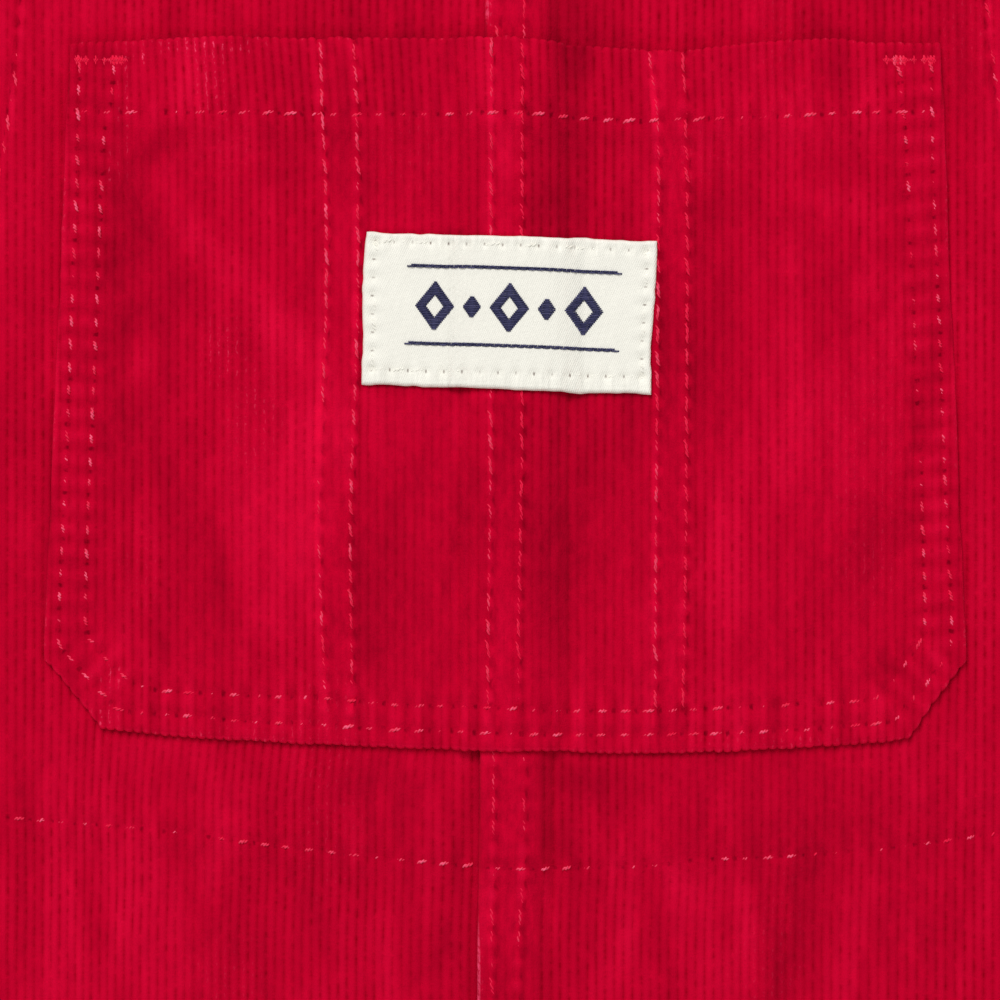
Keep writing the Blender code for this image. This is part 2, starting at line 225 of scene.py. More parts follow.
def near_line(x, y, line, reach):
    """For each point: distance to a polyline, place along it, the direction out to its right, and how
    far to its right the point lies.

    Points further off than reach keep an infinite distance."""
    distance = np.full(x.shape, np.inf)
    along, out_x, out_y, right = (np.zeros(x.shape) for _ in range(4))
    start = 0.0
    for (x0, y0), (x1, y1) in zip(line, line[1:]):
        dx, dy = x1 - x0, y1 - y0
        length = math.hypot(dx, dy)
        if length < TINY:
            continue
        inside = (x > min(x0, x1) - reach) & (x < max(x0, x1) + reach)
        inside &= (y > min(y0, y1) - reach) & (y < max(y0, y1) + reach)
        index = np.flatnonzero(inside)
        px, py = x[index] - x0, y[index] - y0
        t = np.clip((px * dx + py * dy) / length**2, 0, 1)
        gap = np.hypot(px - t * dx, py - t * dy)
        closer = gap < distance[index]
        px, py = px[closer], py[closer]
        index, t, gap = index[closer], t[closer], gap[closer]
        distance[index] = gap
        right[index] = (px * dy - py * dx) / length
        along[index] = start + t * length
        out_x[index] = dy / length
        out_y[index] = -dx / length
        start += length
    return Nearness(distance, along, out_x, out_y, right)


# ---- Form of the cloth ----


def half_width(level):
    """Half of the garment's width at a level."""
    t = (level - HEM) / (UNDERARM - HEM)
    skirt = HEM_HALF + (UNDERARM_HALF - HEM_HALF) * t - SIDE_BOW * np.sin(np.pi * t)
    share = np.clip((level - UNDERARM) / (BIB_TOP - UNDERARM), 0.0, 1.0)
    bodice = BIB_HALF + (UNDERARM_HALF - BIB_HALF) * (1 - share) ** ARMHOLE_POWER
    return np.where(level <= UNDERARM, skirt, bodice)


def hem_lift(level):
    """How much higher this level is at the side seams than at the centre."""
    return HEM_RISE * smooth_step(UNDERARM - level, 0.0, UNDERARM - HEM)


LEVEL_ROUNDS = 6


def level_at(x, y):
    """The level of a place: its Y on the centre line when one follows the weft there."""
    level = np.array(y, float)
    for _ in range(LEVEL_ROUNDS):
        level = y - hem_lift(level) * np.minimum(np.abs(x) / half_width(level), 1) ** 2
    return level


def level_line(x, level):
    """Y of the line of this level at x."""
    return level + hem_lift(level) * (x / half_width(level)) ** 2


SIDE_POINTS = 160
SIDE_LEVELS = np.linspace(HEM, BIB_TOP, SIDE_POINTS)
SIDE_X = half_width(SIDE_LEVELS)
SIDE_Y = SIDE_LEVELS + hem_lift(SIDE_LEVELS)


def hem_line(x):
    """Y of the hem's edge at x."""
    return HEM + HEM_RISE * (x / HEM_HALF) ** 2


def upper_line(x):
    """Y of the side seam, armhole or bib's top edge at x."""
    side = np.interp(np.abs(x), SIDE_X[::-1], SIDE_Y[::-1])
    return np.where(np.abs(x) <= BIB_HALF, BIB_TOP, side)


def hem_layer(level):
    """Thickness that the turned hem adds."""
    fold_line = HEM + HEM_DEPTH
    return CLOTH * (1 - smooth_step(level, fold_line - LAYER_EDGE, fold_line + LAYER_EDGE))


def facing_layer(x, y):
    """Thickness that the facing adds."""
    edge = FACING_EDGE + FACING_CURVE * x * x
    return FACING * smooth_step(y, edge - FACING_BLEND, edge + FACING_BLEND)


def back_wall(x, y, level):
    """Thickness of the back."""
    return CLOTH + hem_layer(level) + facing_layer(x, y)


def front_wall(x, y, level):
    """Thickness of one front, away from the lap."""
    top_fold = BIB_TOP - TOP_HEM_DEPTH
    top_hem = (CLOTH - FACING) * smooth_step(level, top_fold - LAYER_EDGE, top_fold)
    return CLOTH + hem_layer(level) + facing_layer(x, y) + top_hem


def fold_height(x, level):
    """Height of the skirt's folds."""
    total = np.zeros(np.shape(x))
    for fold in named_rows(FOLD_COLUMNS, FOLDS):
        along = np.clip((level - HEM) / (fold["top_y"] - HEM), 0, 1)
        centre = fold["hem_x"] + (fold["top_x"] - fold["hem_x"]) * along
        total = total + fold["height"] * (1 - along) ** FOLD_FADE * bell(x - centre, fold["half_width"])
    return total


def front_floor(x, y, level):
    """Lower face of the front, leaving out the lap."""
    across = np.minimum(np.abs(x) / half_width(level), 1)
    stand_off = SEAM_GAP + (LOFT + fold_height(x, level)) * (1 - across**4)
    return back_wall(x, y, level) + stand_off


# How far the grain of the front leans to the wearer's right, below which Y, and over how far.
LEAN_COLUMNS = ("shift", "start", "run")
LEANS = ((1.05 * MM, 74 * MM, 9 * MM), (0.4 * MM, 44 * MM, 14 * MM))
PULL = (0.9 * MM, 67 * MM, 13 * MM)
PULL_STARTS, PULL_FULL = 6 * MM, 16 * MM  # the pull is on the wearer's right alone
GRAIN_FADES, GRAIN_STRAIGHT = 56 * MM, 88 * MM


def grain_shift(x, y):
    """The grain of the front leans a little to the wearer's right below the pocket."""
    lean, more, pulled = (
        -row["shift"] * smooth_step(row["start"] - y, 0, row["run"])
        for row in named_rows(LEAN_COLUMNS, (*LEANS, PULL))
    )
    total = lean + more + pulled * smooth_step(-x, PULL_STARTS, PULL_FULL)
    return total * (1 - smooth_step(np.abs(x), GRAIN_FADES, GRAIN_STRAIGHT))


POCKET_LEAN = 0.5 * MM
POCKET_LEAN_MORE = 0.8 * MM
POCKET_LEAN_PLACE, POCKET_LEAN_WIDTH = -36 * MM, 22 * MM
POCKET_LEAN_LEVELS = (173 * MM, 189 * MM)
POCKET_LEAN_FADE = (60 * MM, 74 * MM)


def pocket_grain_shift(x, y):
    """The grain of the pocket's hem leans to the wearer's right going up."""
    lean = POCKET_LEAN + POCKET_LEAN_MORE * bell(x - POCKET_LEAN_PLACE, POCKET_LEAN_WIDTH)
    return -lean * ramp(y, *POCKET_LEAN_LEVELS) * (1 - smooth_step(np.abs(x), *POCKET_LEAN_FADE))


LAP_EASE = 0.2 * MM


def lap_fold(y):
    """X of the folded edge of the lapping front."""
    return LAP_FOLD + LAP_EASE + grain_shift(0.0, y)


def lap_share(x, y):
    """1 on the lap of the centre seam and 0 beside it."""
    clear = LAP_HIDDEN + SEAM_GAP + grain_shift(0.0, y)
    return (x > lap_fold(y)) * (1 - ramp(x, clear, clear + LAP_RAMP))


def front_face(x, y):
    """Upper face of the two fronts, with the step of the lap."""
    level = level_at(x, y)
    wall = front_wall(x, y, level)
    return front_floor(x, y, level) + wall + (wall + SEAM_GAP) * lap_share(x, y)


def right_face(x, y):
    """Upper face of the front that runs under the lap."""
    level = level_at(x, y)
    return front_floor(x, y, level) + front_wall(x, y, level)


def right_floor(x, y):
    """Lower face of that front."""
    return front_floor(x, y, level_at(x, y))


BRIDGE_STEPS = 17


def bridged(surface, x, y, bend, reach):
    """Cloth that lies taut over a surface: the highest of it nearby, less a parabola's drop."""
    best = surface(x, y)
    for step in np.linspace(-reach, reach, BRIDGE_STEPS):
        best = np.maximum(best, surface(x + step, y) - bend * step * step)
    return best


LAP_BEND, LAP_REACH = 260.0, 3.0 * MM
POCKET_BEND, POCKET_REACH = 90.0, 5.2 * MM
LABEL_BEND, LABEL_REACH = 70.0, 6.0 * MM
INSIDE_LAP = 0.01 * MM


def left_face(x, y):
    """Upper face of the lapping front, which climbs over the hidden allowance."""
    return bridged(front_face, np.maximum(x, lap_fold(y) + INSIDE_LAP), y, LAP_BEND, LAP_REACH)


def left_floor(x, y):
    """Lower face of that front."""
    return left_face(x, y) - front_wall(x, y, level_at(x, y))


# Lines of the pocket's outline and stitching, in millimetres from left to right.
POCKET_TOP_MM = (
    (-76.5, 187.3), (-70.7, 187.6), (-57.4, 188.3), (-48.5, 188.7), (-35.0, 188.3), (-4.0, 188.3),
    (7.9, 187.7), (16.9, 186.8), (30.2, 186.1), (37.0, 186.8), (43.6, 187.5), (56.9, 188.3),
    (63.7, 187.7), (76.5, 187.4),
)
POCKET_BOTTOM_MM = (
    (-80.5, 69.2), (-70.7, 67.8), (-64.0, 67.1), (-53.7, 66.2), (-44.0, 65.7), (-30.5, 65.0),
    (-3.8, 64.1), (7.2, 64.1), (17.0, 63.6), (30.4, 63.6), (43.6, 64.1), (52.5, 64.6),
    (61.4, 65.2), (68.6, 65.8), (80.5, 67.6),
)
HEM_ROW_MM = (
    (-75.0, 175.6), (-68.4, 175.3), (-44.5, 175.3), (-30.5, 174.9), (0.9, 174.9), (19.5, 173.9),
    (30.5, 174.0), (41.9, 174.4), (49.7, 174.7), (61.4, 175.3), (75.0, 175.4),
)
INNER_ROW_MM = (
    (-68.1, 184.6), (-68.7, 177.9), (-69.4, 174.2), (-70.4, 167.0), (-71.4, 140.0), (-72.9, 104.0),
    (-73.3, 86.5), (-71.9, 82.6), (-69.3, 79.5), (-67.2, 77.5), (-65.4, 76.0), (-61.6, 74.7),
    (-57.9, 74.2), (-49.7, 73.8), (-41.5, 73.4), (-33.2, 73.2), (-25.5, 72.5), (-17.3, 71.8),
    (-4.2, 71.6), (11.9, 70.9), (27.7, 70.9), (36.3, 71.3), (44.3, 71.6), (52.5, 72.1),
    (60.7, 72.5), (64.0, 72.9), (66.5, 74.2), (68.8, 77.6), (71.9, 82.0), (73.3, 86.5),
    (72.9, 104.0), (71.4, 140.0), (70.2, 167.0), (69.2, 177.0), (68.6, 184.6),
)
OUTER_ROW_MM = (
    (-74.2, 185.2), (-75.0, 160.0), (-76.9, 110.0), (-78.0, 84.5), (-76.2, 80.4), (-70.0, 73.5),
    (-67.5, 71.1), (-62.3, 70.4), (-53.7, 69.9), (-45.5, 69.0), (-32.8, 68.5), (-24.6, 67.9),
    (-16.4, 67.4), (-3.8, 67.2), (12.0, 66.7), (23.6, 66.7), (36.0, 66.9), (44.3, 67.2),
    (52.5, 67.6), (60.7, 68.3), (67.7, 69.2), (70.6, 72.2), (76.2, 79.0), (78.0, 84.5),
    (76.9, 110.0), (75.0, 160.0), (74.2, 185.2),
)
DIVIDER_ROWS_MM = (
    ((-32.2, 188.0), (-31.9, 175.0), (-31.3, 160.0), (-31.3, 140.0), (-32.6, 105.0), (-31.4, 73.0)),
    ((-26.5, 188.0), (-25.9, 175.0), (-25.8, 140.0), (-27.0, 105.0), (-26.7, 72.6)),
    ((-2.4, 188.2), (-2.5, 150.0), (-2.6, 110.0), (-3.0, 83.0), (-3.0, 71.6)),
    ((3.0, 188.0), (2.9, 150.0), (2.9, 120.0), (2.6, 99.0), (2.3, 85.0), (2.3, 71.4)),
    ((25.0, 186.4), (26.2, 177.5), (26.7, 170.0), (26.7, 150.0), (26.3, 97.0), (26.2, 70.9)),
    ((30.9, 186.2), (31.4, 175.0), (31.8, 155.0), (31.5, 97.0), (31.0, 71.1)),
)
FACING_ROW_MM = (
    (-154.5, 58.0), (-120.0, 55.0), (-90.0, 52.2), (-68.4, 50.5), (-56.4, 49.3), (-44.0, 47.5),
    (-31.2, 46.0), (-19.2, 44.7), (-4.7, 43.5), (8.0, 43.1), (16.9, 43.2), (25.3, 43.5),
    (33.9, 44.6), (45.0, 44.9), (57.9, 45.8), (66.3, 46.4), (90.0, 49.6), (120.0, 53.5),
    (154.5, 57.6),
)

pocket_top_curve = curve_of(POCKET_TOP_MM)
pocket_bottom_curve = curve_of(POCKET_BOTTOM_MM)
facing_curve = curve_of(FACING_ROW_MM)

EDGE_UNEVEN = 0.16 * MM
EDGE_UNEVEN_LENGTH = 1.9 * MM


def edge_stray(x, seed):
    """How far the pocket's edge strays off its curve."""
    return EDGE_UNEVEN * soft_noise(x / EDGE_UNEVEN_LENGTH, 0.5, seed)


def pocket_low(x):
    """Y of the pocket's lower edge, with its clipped corners."""
    clip = ramp(np.abs(x), POCKET_LOW_HALF - POCKET_CLIP, POCKET_LOW_HALF)
    bottom = pocket_bottom_curve(x)
    return bottom + (POCKET_CLIP_TOP - bottom) * clip + edge_stray(x, 61)


def pocket_high(x):
    """Y of the pocket's mouth, and of its sides where they slant outside it."""
    top = pocket_top_curve(x)
    outside = ramp(np.abs(x), POCKET_TOP_HALF, POCKET_LOW_HALF)
    return top + (POCKET_CLIP_TOP - top) * outside + edge_stray(x, 62) * (outside == 0)


def pocket_floor(x, y):
    """Lower face of the pocket, which lies a little loose on the fronts."""
    height = POCKET_TOP - POCKET_BOTTOM
    inside = (y - POCKET_BOTTOM) * (POCKET_TOP - y) / (0.5 * height) ** 2
    across = 1 - np.minimum(np.abs(x) / POCKET_LOW_HALF, 1) ** 2
    ease = POCKET_EASE * np.maximum(inside, 0) * across
    return bridged(front_face, x, y, POCKET_BEND, POCKET_REACH) + SEAM_GAP + ease


def pocket_face(x, y):
    """Upper face of the pocket, with its hem's second layer."""
    hem_edge = POCKET_TOP - POCKET_HEM
    layer = POCKET_HEM_LAYER * smooth_step(y, hem_edge - POCKET_HEM_BLEND, hem_edge + POCKET_HEM_EDGE)
    return pocket_floor(x, y) + CLOTH + layer


def label_floor(x, y):
    """Lower face of the label."""
    return bridged(pocket_face, x, y, LABEL_BEND, LABEL_REACH) + SEAM_GAP


# Soft creases, each a low ridge (or trough, where the height is below 0) along a straight line.
CREASE_COLUMNS = ("x0", "y0", "x1", "y1", "half_width", "height")
POCKET_CREASES_MM = (
    (-56, 158, -43, 141, 5.0, 0.45),
    (-43, 141, -33, 119, 5.5, 0.40),
    (-60, 146, -50, 128, 5.0, -0.35),
    (-66, 168, -58, 176, 5.0, 0.30),
    (-72, 160, -66, 150, 4.0, -0.35),
    (-70, 128, -66, 112, 5.0, -0.30),
    (-38, 112, -40, 84, 7.0, 0.40),
    (-54, 100, -52, 90, 6.0, -0.40),
    (-18, 104, -22, 92, 5.0, -0.35),
    (11, 184, 12, 150, 5.5, -0.30),
    (11, 122, 10, 84, 4.0, -0.30),
    (37, 150, 36, 120, 6.0, -0.35),
    (46, 130, 52, 84, 9.0, 0.45),
    (66, 160, 70, 120, 6.0, 0.30),
    (68, 100, 66, 84, 4.0, -0.35),
)
FRONT_CREASES_MM = (
    (52, 40, 51, 2, 2.6, -0.50),
    (8, 60, 12, 38, 3.5, -0.30),
    (6, 26, 5, 4, 3.0, -0.30),
    (-42, 44, -36, 28, 6.0, -0.30),
    (-62, 46, -66, 20, 6.0, 0.40),
    (30, 46, 38, 36, 4.0, 0.30),
    (22, 48, 28, 36, 4.0, 0.25),
    (62, 44, 66, 34, 4.0, 0.35),
    (-84, 196, -82, 120, 5.0, 0.35),
    (84, 188, 83, 110, 5.0, 0.30),
    (54, 202, 66, 196, 5.0, -0.35),
    (-110, 66, -92, 30, 5.0, 1.0),
    (-128, 40, -104, -6, 5.5, -1.0),
    (118, 58, 96, 20, 5.5, 1.0),
    (136, 36, 118, -10, 5.5, -1.0),
    (-30, -20, -22, -90, 6.5, -0.9),
    (64, -30, 70, -120, 7.0, -1.0),
    (-84, -60, -96, -150, 7.0, -1.0),
    (124, -50, 138, -160, 6.5, 1.0),
    (-140, -90, -158, -190, 6.5, 1.0),
    (12, -120, 6, -210, 6.5, 0.9),
    (-70, -170, -78, -260, 6.5, -1.0),
    (112, -190, 120, -270, 7.0, -1.0),
    (-190, -200, -194, -262, 6.0, -0.9),
    (54, -200, 52, -280, 6.0, 0.8),
)


def crease_height(x, y, table):
    """Height of the creases of a table."""
    total = np.zeros(x.shape)
    for crease in named_rows(CREASE_COLUMNS, np.array(table, float) * MM):
        dx, dy = crease["x1"] - crease["x0"], crease["y1"] - crease["y0"]
        px, py = x - crease["x0"], y - crease["y0"]
        t = np.clip((px * dx + py * dy) / (dx * dx + dy * dy), 0, 1)
        total += crease["height"] * bell(np.hypot(px - t * dx, py - t * dy), crease["half_width"])
    return total


# Patches where the pile lies another way and catches more light, and painted shade and light of soft folds
# and of shadows beside edges: lighter, or darker where the strength is below 0. turn is in degrees, from
# the X axis to the patch's long side.
PATCH_COLUMNS = ("x", "y", "long", "wide", "turn", "strength")
POCKET_NAP_AND_PAINTED_LIGHT_MM = (
    (11.5, 173.0, 22, 4.8, 90, -0.18),
    (9.5, 158.5, 7, 4.0, 0, -0.16),
    (19.0, 157.0, 4, 4.0, 0, -0.10),
    (22.0, 120.5, 6, 3.0, 90, -0.18),
    (20.5, 105.0, 7, 3.2, 90, -0.11),
    (11.0, 87.5, 11, 2.6, 90, -0.16),
    (13.5, 100.0, 26, 11.0, 90, -0.13),
    (7.5, 92.0, 15, 2.8, 90, -0.10),
    (-24.3, 99.0, 16, 3.4, 90, -0.19),
    (-22.5, 164.0, 8, 3.2, 90, -0.14),
    (-2.0, 98.0, 28, 20.0, 90, -0.08),
    (-54.0, 114.0, 20, 6.5, 80, -0.11),
    (-54.5, 167.0, 5, 4.0, 0, 0.07),
    (-50.6, 150.5, 10, 3.9, -50, 0.22),
    (-38.6, 136.5, 9, 4.2, -52, 0.22),
    (-33.4, 121.0, 11, 4.6, -80, 0.14),
    (-36.6, 101.0, 18, 5.2, 90, 0.20),
    (-38.0, 83.0, 8, 4.5, 90, 0.09),
    (-66.2, 160.5, 7, 3.4, -55, -0.24),
    (-60.5, 153.5, 8, 4.5, -50, -0.10),
    (-68.0, 149.5, 6, 4.0, 90, -0.24),
    (-60.4, 169.2, 6, 2.0, 36, -0.22),
    (-63.8, 139.5, 10, 3.6, 45, -0.25),
    (-62.5, 131.5, 9, 2.2, 40, 0.04),
    (-66.0, 121.0, 9, 3.4, 60, -0.18),
    (-63.0, 115.0, 9, 4.0, 90, -0.14),
    (-52.5, 97.5, 9, 4.4, -70, -0.12),
    (-49.5, 90.0, 11, 3.4, 90, -0.10),
    (-61.0, 84.0, 3.5, 1.8, -60, -0.16),
    (-67.0, 83.0, 6, 4.0, 80, 0.06),
    (-44.0, 165.0, 12, 2.0, -6, -0.08),
    (-55.2, 179.0, 10, 3.6, 90, 0.19),
    (-36.0, 179.0, 8, 3.0, 90, -0.12),
    (-20.0, 180.0, 8, 5.0, 90, -0.07),
    (-2.8, 178.0, 9, 1.2, 90, 0.07),
    (-2.6, 128.0, 60, 0.5, 90, 0.10),
    (26.9, 176.0, 8, 1.4, 90, 0.11),
    (38.7, 177.0, 8, 1.8, 90, 0.05),
    (47.0, 178.0, 8, 1.6, 90, 0.05),
    (58.5, 179.5, 8, 2.4, 90, -0.14),
    (21.0, 179.0, 8, 2.4, 90, -0.08),
    (63.0, 178.0, 7, 2.0, 90, 0.07),
    (34.6, 159.2, 5, 3.4, 80, -0.22),
    (35.0, 129.0, 18, 3.2, 85, -0.14),
    (48.5, 158.0, 5, 5.0, 0, -0.09),
    (40.0, 142.0, 17, 8.0, 75, -0.11),
    (53.5, 125.0, 20, 8.0, 60, 0.14),
    (39.5, 92.0, 13, 3.8, 86, 0.13),
    (47.5, 101.0, 9, 4.0, 90, 0.06),
    (67.0, 104.0, 10, 3.0, 90, -0.10),
    (61.0, 98.5, 10, 5.5, 48, -0.12),
    (58.5, 148.0, 12, 2.0, 24, -0.04),
    (63.0, 139.5, 9, 1.8, 32, -0.07),
    (60.0, 166.0, 10, 3.4, 0, -0.14),
    (60.0, 159.0, 12, 2.0, -12, 0.06),
    (66.0, 78.5, 3.4, 2.6, 90, -0.28),
    (49.0, 82.0, 6, 3.0, 90, -0.06),
    (-41.5, 177.5, 7, 2.0, 90, -0.10),
    (-61.5, 152.5, 9, 6.5, 0, -0.10),
    (-67.5, 111.0, 5, 3.0, 90, -0.12),
    (-67.3, 124.0, 4, 3.0, 90, -0.10),
    (-28.5, 172.0, 16, 2.0, 90, -0.12),
    (-42.5, 112.0, 20, 2.4, 90, 0.08),
    (-11.8, 69.5, 5, 1.8, 90, 0.12),
    (-24.6, 81.5, 4, 2.2, 90, -0.14),
    (54.5, 118.5, 8, 2.6, 90, 0.08),
    (33.5, 91.0, 8, 1.8, 90, 0.09),
    (42.5, 83.5, 8, 3.0, 70, -0.10),
    (-27.5, 181.0, 6, 1.6, 90, -0.12),
    (-27.0, 163.0, 5, 2.4, 90, -0.10),
    (-66.5, 148.0, 10, 2.5, 90, -0.08),
    (12.5, 186.5, 3, 3.5, 0, -0.20),
    (32.5, 176.0, 6, 1.4, 90, -0.12),
    (27.6, 140.0, 14, 1.3, 92, -0.20),
    (-6.8, 94.0, 14, 2.0, 90, 0.09),
    (-57.6, 102.0, 6, 3.0, 60, 0.06),
)
FRONT_NAP_AND_PAINTED_LIGHT_MM = (
    (12.2, 193.5, 9, 5.2, 90, -0.25),
    (54.8, 190.5, 6, 3.0, -30, -0.20),
    (-54.0, 193.0, 6, 3.0, 90, -0.03),
    (-35.0, 192.0, 12, 6.0, 0, -0.07),
    (-17.0, 192.0, 9, 9.0, 0, -0.08),
    (-25.3, 59.0, 3, 4.0, 90, -0.19),
    (-19.0, 57.0, 5, 6.0, 0, -0.10),
    (13.0, 58.8, 8, 3.2, 0, -0.22),
    (-4.9, 63.3, 3, 1.4, 0, 0.18),
    (9.5, 63.0, 4, 1.4, 0, 0.18),
    (22.0, 57.0, 4, 3.4, 90, -0.13),
    (9.0, 49.4, 5, 3.2, 90, -0.24),
    (20.5, 51.5, 3.5, 2.4, 90, -0.14),
    (14.0, 33.0, 9, 5.0, 90, -0.09),
    (12.0, 41.5, 4, 2.2, 90, -0.12),
    (40.0, 54.5, 14, 4.5, 0, 0.03),
    (33.0, 58.0, 5, 6.0, 0, -0.05),
    (43.0, 45.0, 5, 2.2, 90, -0.12),
    (51.0, 32.0, 16, 3.4, 81, -0.30),
    (-65.0, 37.0, 13, 4.0, 90, 0.14),
    (-54.5, 34.0, 9, 2.4, 90, -0.05),
    (-46.5, 33.0, 10, 2.6, 90, -0.13),
    (-41.0, 28.0, 7, 3.0, 90, -0.11),
    (-11.5, 28.0, 6, 3.0, 60, -0.13),
    (-31.0, 31.0, 9, 3.0, 90, -0.17),
    (-35.5, 34.0, 6, 2.0, 90, -0.12),
    (-21.0, 36.5, 6, 2.0, 90, -0.08),
    (29.8, 41.5, 7, 2.4, -62, 0.14),
    (18.5, 43.0, 4, 2.0, 90, 0.06),
    (20.5, 27.0, 9, 2.4, 82, 0.09),
    (27.5, 27.0, 8, 2.4, 90, -0.12),
    (61.0, 33.0, 13, 4.2, 90, 0.11),
    (37.0, 26.0, 8, 2.6, 90, 0.04),
    (47.5, 26.0, 8, 3.0, 85, -0.14),
    (22.0, 29.0, 5, 1.6, 90, 0.06),
    (-3.0, 194.0, 5, 1.2, 90, 0.14),
    (-1.7, 27.0, 12, 1.2, 90, -0.08),
    (-6.5, 35.0, 24, 1.2, 90, -0.11),
    (0.5, 28.0, 14, 2.0, 90, -0.05),
    (15.7, 56.2, 2.5, 2.5, 0, -0.12),
    (45.0, 36.5, 6, 1.6, 85, -0.10),
    (8.3, 25.5, 4, 1.4, 90, -0.12),
    (-58.5, 60.0, 3, 3.0, 90, -0.10),
    (-51.6, 35.0, 6, 2.4, 90, -0.09),
    (-14.0, 40.0, 7, 3.0, 90, 0.06),
    (63.5, 41.0, 6, 2.6, 90, 0.08),
    (5.5, 26.0, 9, 2.2, 90, -0.12),
    (-2.4, 34.0, 12, 0.6, 90, 0.08),
    (-120.0, -60.0, 110, 14.0, 82, 0.07),
    (-66.0, -140.0, 130, 12.0, 86, -0.08),
    (28.0, -110.0, 150, 13.0, 90, 0.07),
    (82.0, -120.0, 140, 12.0, 95, -0.08),
    (150.0, -130.0, 120, 14.0, 100, 0.07),
)


def patches(x, y, table):
    """Sum of a table's soft patches at each point."""
    total = np.zeros(x.shape)
    for patch in named_rows(PATCH_COLUMNS, table):
        turn = math.radians(patch["turn"])
        px, py = x / MM - patch["x"], y / MM - patch["y"]
        lengthwise = px * math.cos(turn) + py * math.sin(turn)
        crosswise = py * math.cos(turn) - px * math.sin(turn)
        total += patch["strength"] * bell(lengthwise, patch["long"]) * bell(crosswise, patch["wide"])
    return total


CLOUD_COLUMNS = ("strength", "wide", "long")
CLOUDS = ((0.050, 13 * MM, 26 * MM), (0.085, 4.2 * MM, 17 * MM), (0.075, 1.7 * MM, 8 * MM))


def nap_and_painted_light_at(x, y, table, seed):
    """Share by which the cloth looks lighter or darker at each point: random clouds in the pile's tone,
    and the table's patches, partly pile lying another way and partly painted shade and light.
    """
    total = patches(x, y, table)
    for number, cloud in enumerate(named_rows(CLOUD_COLUMNS, CLOUDS)):
        total += cloud["strength"] * soft_noise(x / cloud["wide"], y / cloud["long"], seed + number)
    return total


def crevice(x, y, line, strength, reach):
    """Shade in the cloth beside an edge that lies on it."""
    return -strength * bell(near_line(x, y, line, 3 * reach).distance, reach)


# ---- Rows of stitching ----

Row = namedtuple("Row", "line pitch across depth shows pale sunk")
SHOWS_ACROSS, SHOWS_ALONG = 0.46, 0.82  # share of a stitch that shows, across the wales and along


def row_of(line, across, pitch=STITCH, depth=1.0, shows=None, pale=0.6, sunk=0.0):
    """A row of stitching whose stitches are as near to pitch as a whole number of them allows.

    shows is the share of each stitch that lies on top, pale how strong the painted highlight on its
    lightest stitch is and how much painted light lies beside a row along the wales, and sunk how far
    the thread lies down in the pile, in millimetres."""
    length = line_lengths(line)[-1]
    count = max(1, round(length / pitch))
    shows = shows or (SHOWS_ACROSS if across else SHOWS_ALONG)
    return Row(line, length / count, across, depth, shows, pale, sunk)


GROOVE_DEPTH = 0.28 * MM
GROOVE_WIDTH = 0.75 * MM
GROOVE_ACROSS, GROOVE_ALONG = 0.20, 0.38  # share of the groove's depth halfway to its needle holes
GROOVE_AT_HOLES = 0.26
PUFF_HEIGHT = 0.13 * MM
PUFF_PLACE = 2.0 * MM
PUFF_WIDTH = 1.3 * MM
PUCKER_HEIGHT = 0.07 * MM
PUCKER_WIDTH = 2.6 * MM
PUCKER_WIDTH_ALONG = 1.1 * MM
PUCKER_SHADE = 0.065
SEWN_REACH = 6.0 * MM
MARK_REACH = 1.5 * MM
MARK_SUNK = 2.0  # how much smaller the holes of a sunken row look
STRIP_REACH = 3 * MM
STRIP_SHADE = 0.15
DARK_PLACE = 1.0 * MM  # a shaded strip runs on the wearer's left of rows along the wales
DARK_WIDTH = 0.60 * MM
DARK_SWAY = 0.22 * MM
DARK_LAG = 0.12
DARK_SHARES = (0.60, 0.40)  # even, and in step with the stitches
LIT_PLACE = 0.35 * MM  # and a lighter one on the other side
LIT_WIDTH = 0.65 * MM
LIT_LEAST = 0.38
LIT_PER_PALE = 0.72
LIT_PATCHY = 0.65
LIT_PATCH = 3.5 * MM


def strips_beside(near, row):
    """Shade beside a row along the wales: a darker strip on one side and a lighter on the other."""
    wavy = np.cos(2 * np.pi * (near.along / row.pitch - DARK_LAG))
    dark = bell(-near.right - DARK_PLACE + DARK_SWAY * wavy, DARK_WIDTH)
    dark = dark * row.depth * (DARK_SHARES[0] + DARK_SHARES[1] * wavy)
    patchy = 1 + LIT_PATCHY * soft_noise(near.along / LIT_PATCH, 7 * row.pale, 81)
    lit = patchy * bell(LIT_PLACE - near.right, LIT_WIDTH)
    lit = lit * (LIT_LEAST + LIT_PER_PALE * row.pale - row.sunk)
    return STRIP_SHADE * (lit - dark) * (near.distance < STRIP_REACH)


def sewn(x, y, rows):
    """Relief that rows of stitches pull into cloth, its shade, and two marks for its shader.

    A mark is (place along the row in stitches, distance, and how far to its left), in millimetres,
    for the rows across the wales and for those along them."""
    relief, shade = np.zeros(x.shape), np.zeros(x.shape)
    marks = {}
    for across in (True, False):
        best = np.full(x.shape, MARK_REACH)
        phase, left_of = np.zeros(x.shape), np.zeros(x.shape)
        for row in rows:
            if row.across != across:
                continue
            near = near_line(x, y, row.line, SEWN_REACH)
            away = near.distance
            step = near.along / row.pitch
            hole = np.cos(2 * np.pi * step)
            groove = (GROOVE_ACROSS if across else GROOVE_ALONG) + GROOVE_AT_HOLES * hole
            ripple = hole * bell(away, PUCKER_WIDTH if across else PUCKER_WIDTH_ALONG)
            pulled = GROOVE_DEPTH * groove * bell(away, GROOVE_WIDTH) + PUCKER_HEIGHT * ripple
            relief += row.depth * (PUFF_HEIGHT * bell(away - PUFF_PLACE, PUFF_WIDTH) - pulled)
            shade -= row.depth * PUCKER_SHADE * ripple
            if not across:
                shade += strips_beside(near, row)
            closer = away < best
            best[closer] = away[closer] + (MARK_SUNK * row.sunk * MM if across else 0.0)
            phase[closer] = step[closer]
            left_of[closer] = -near.right[closer]
        marks[across] = np.column_stack((phase, best / MM, left_of / MM))
    return relief, shade, marks[True], marks[False]


# ---- Meshes ----

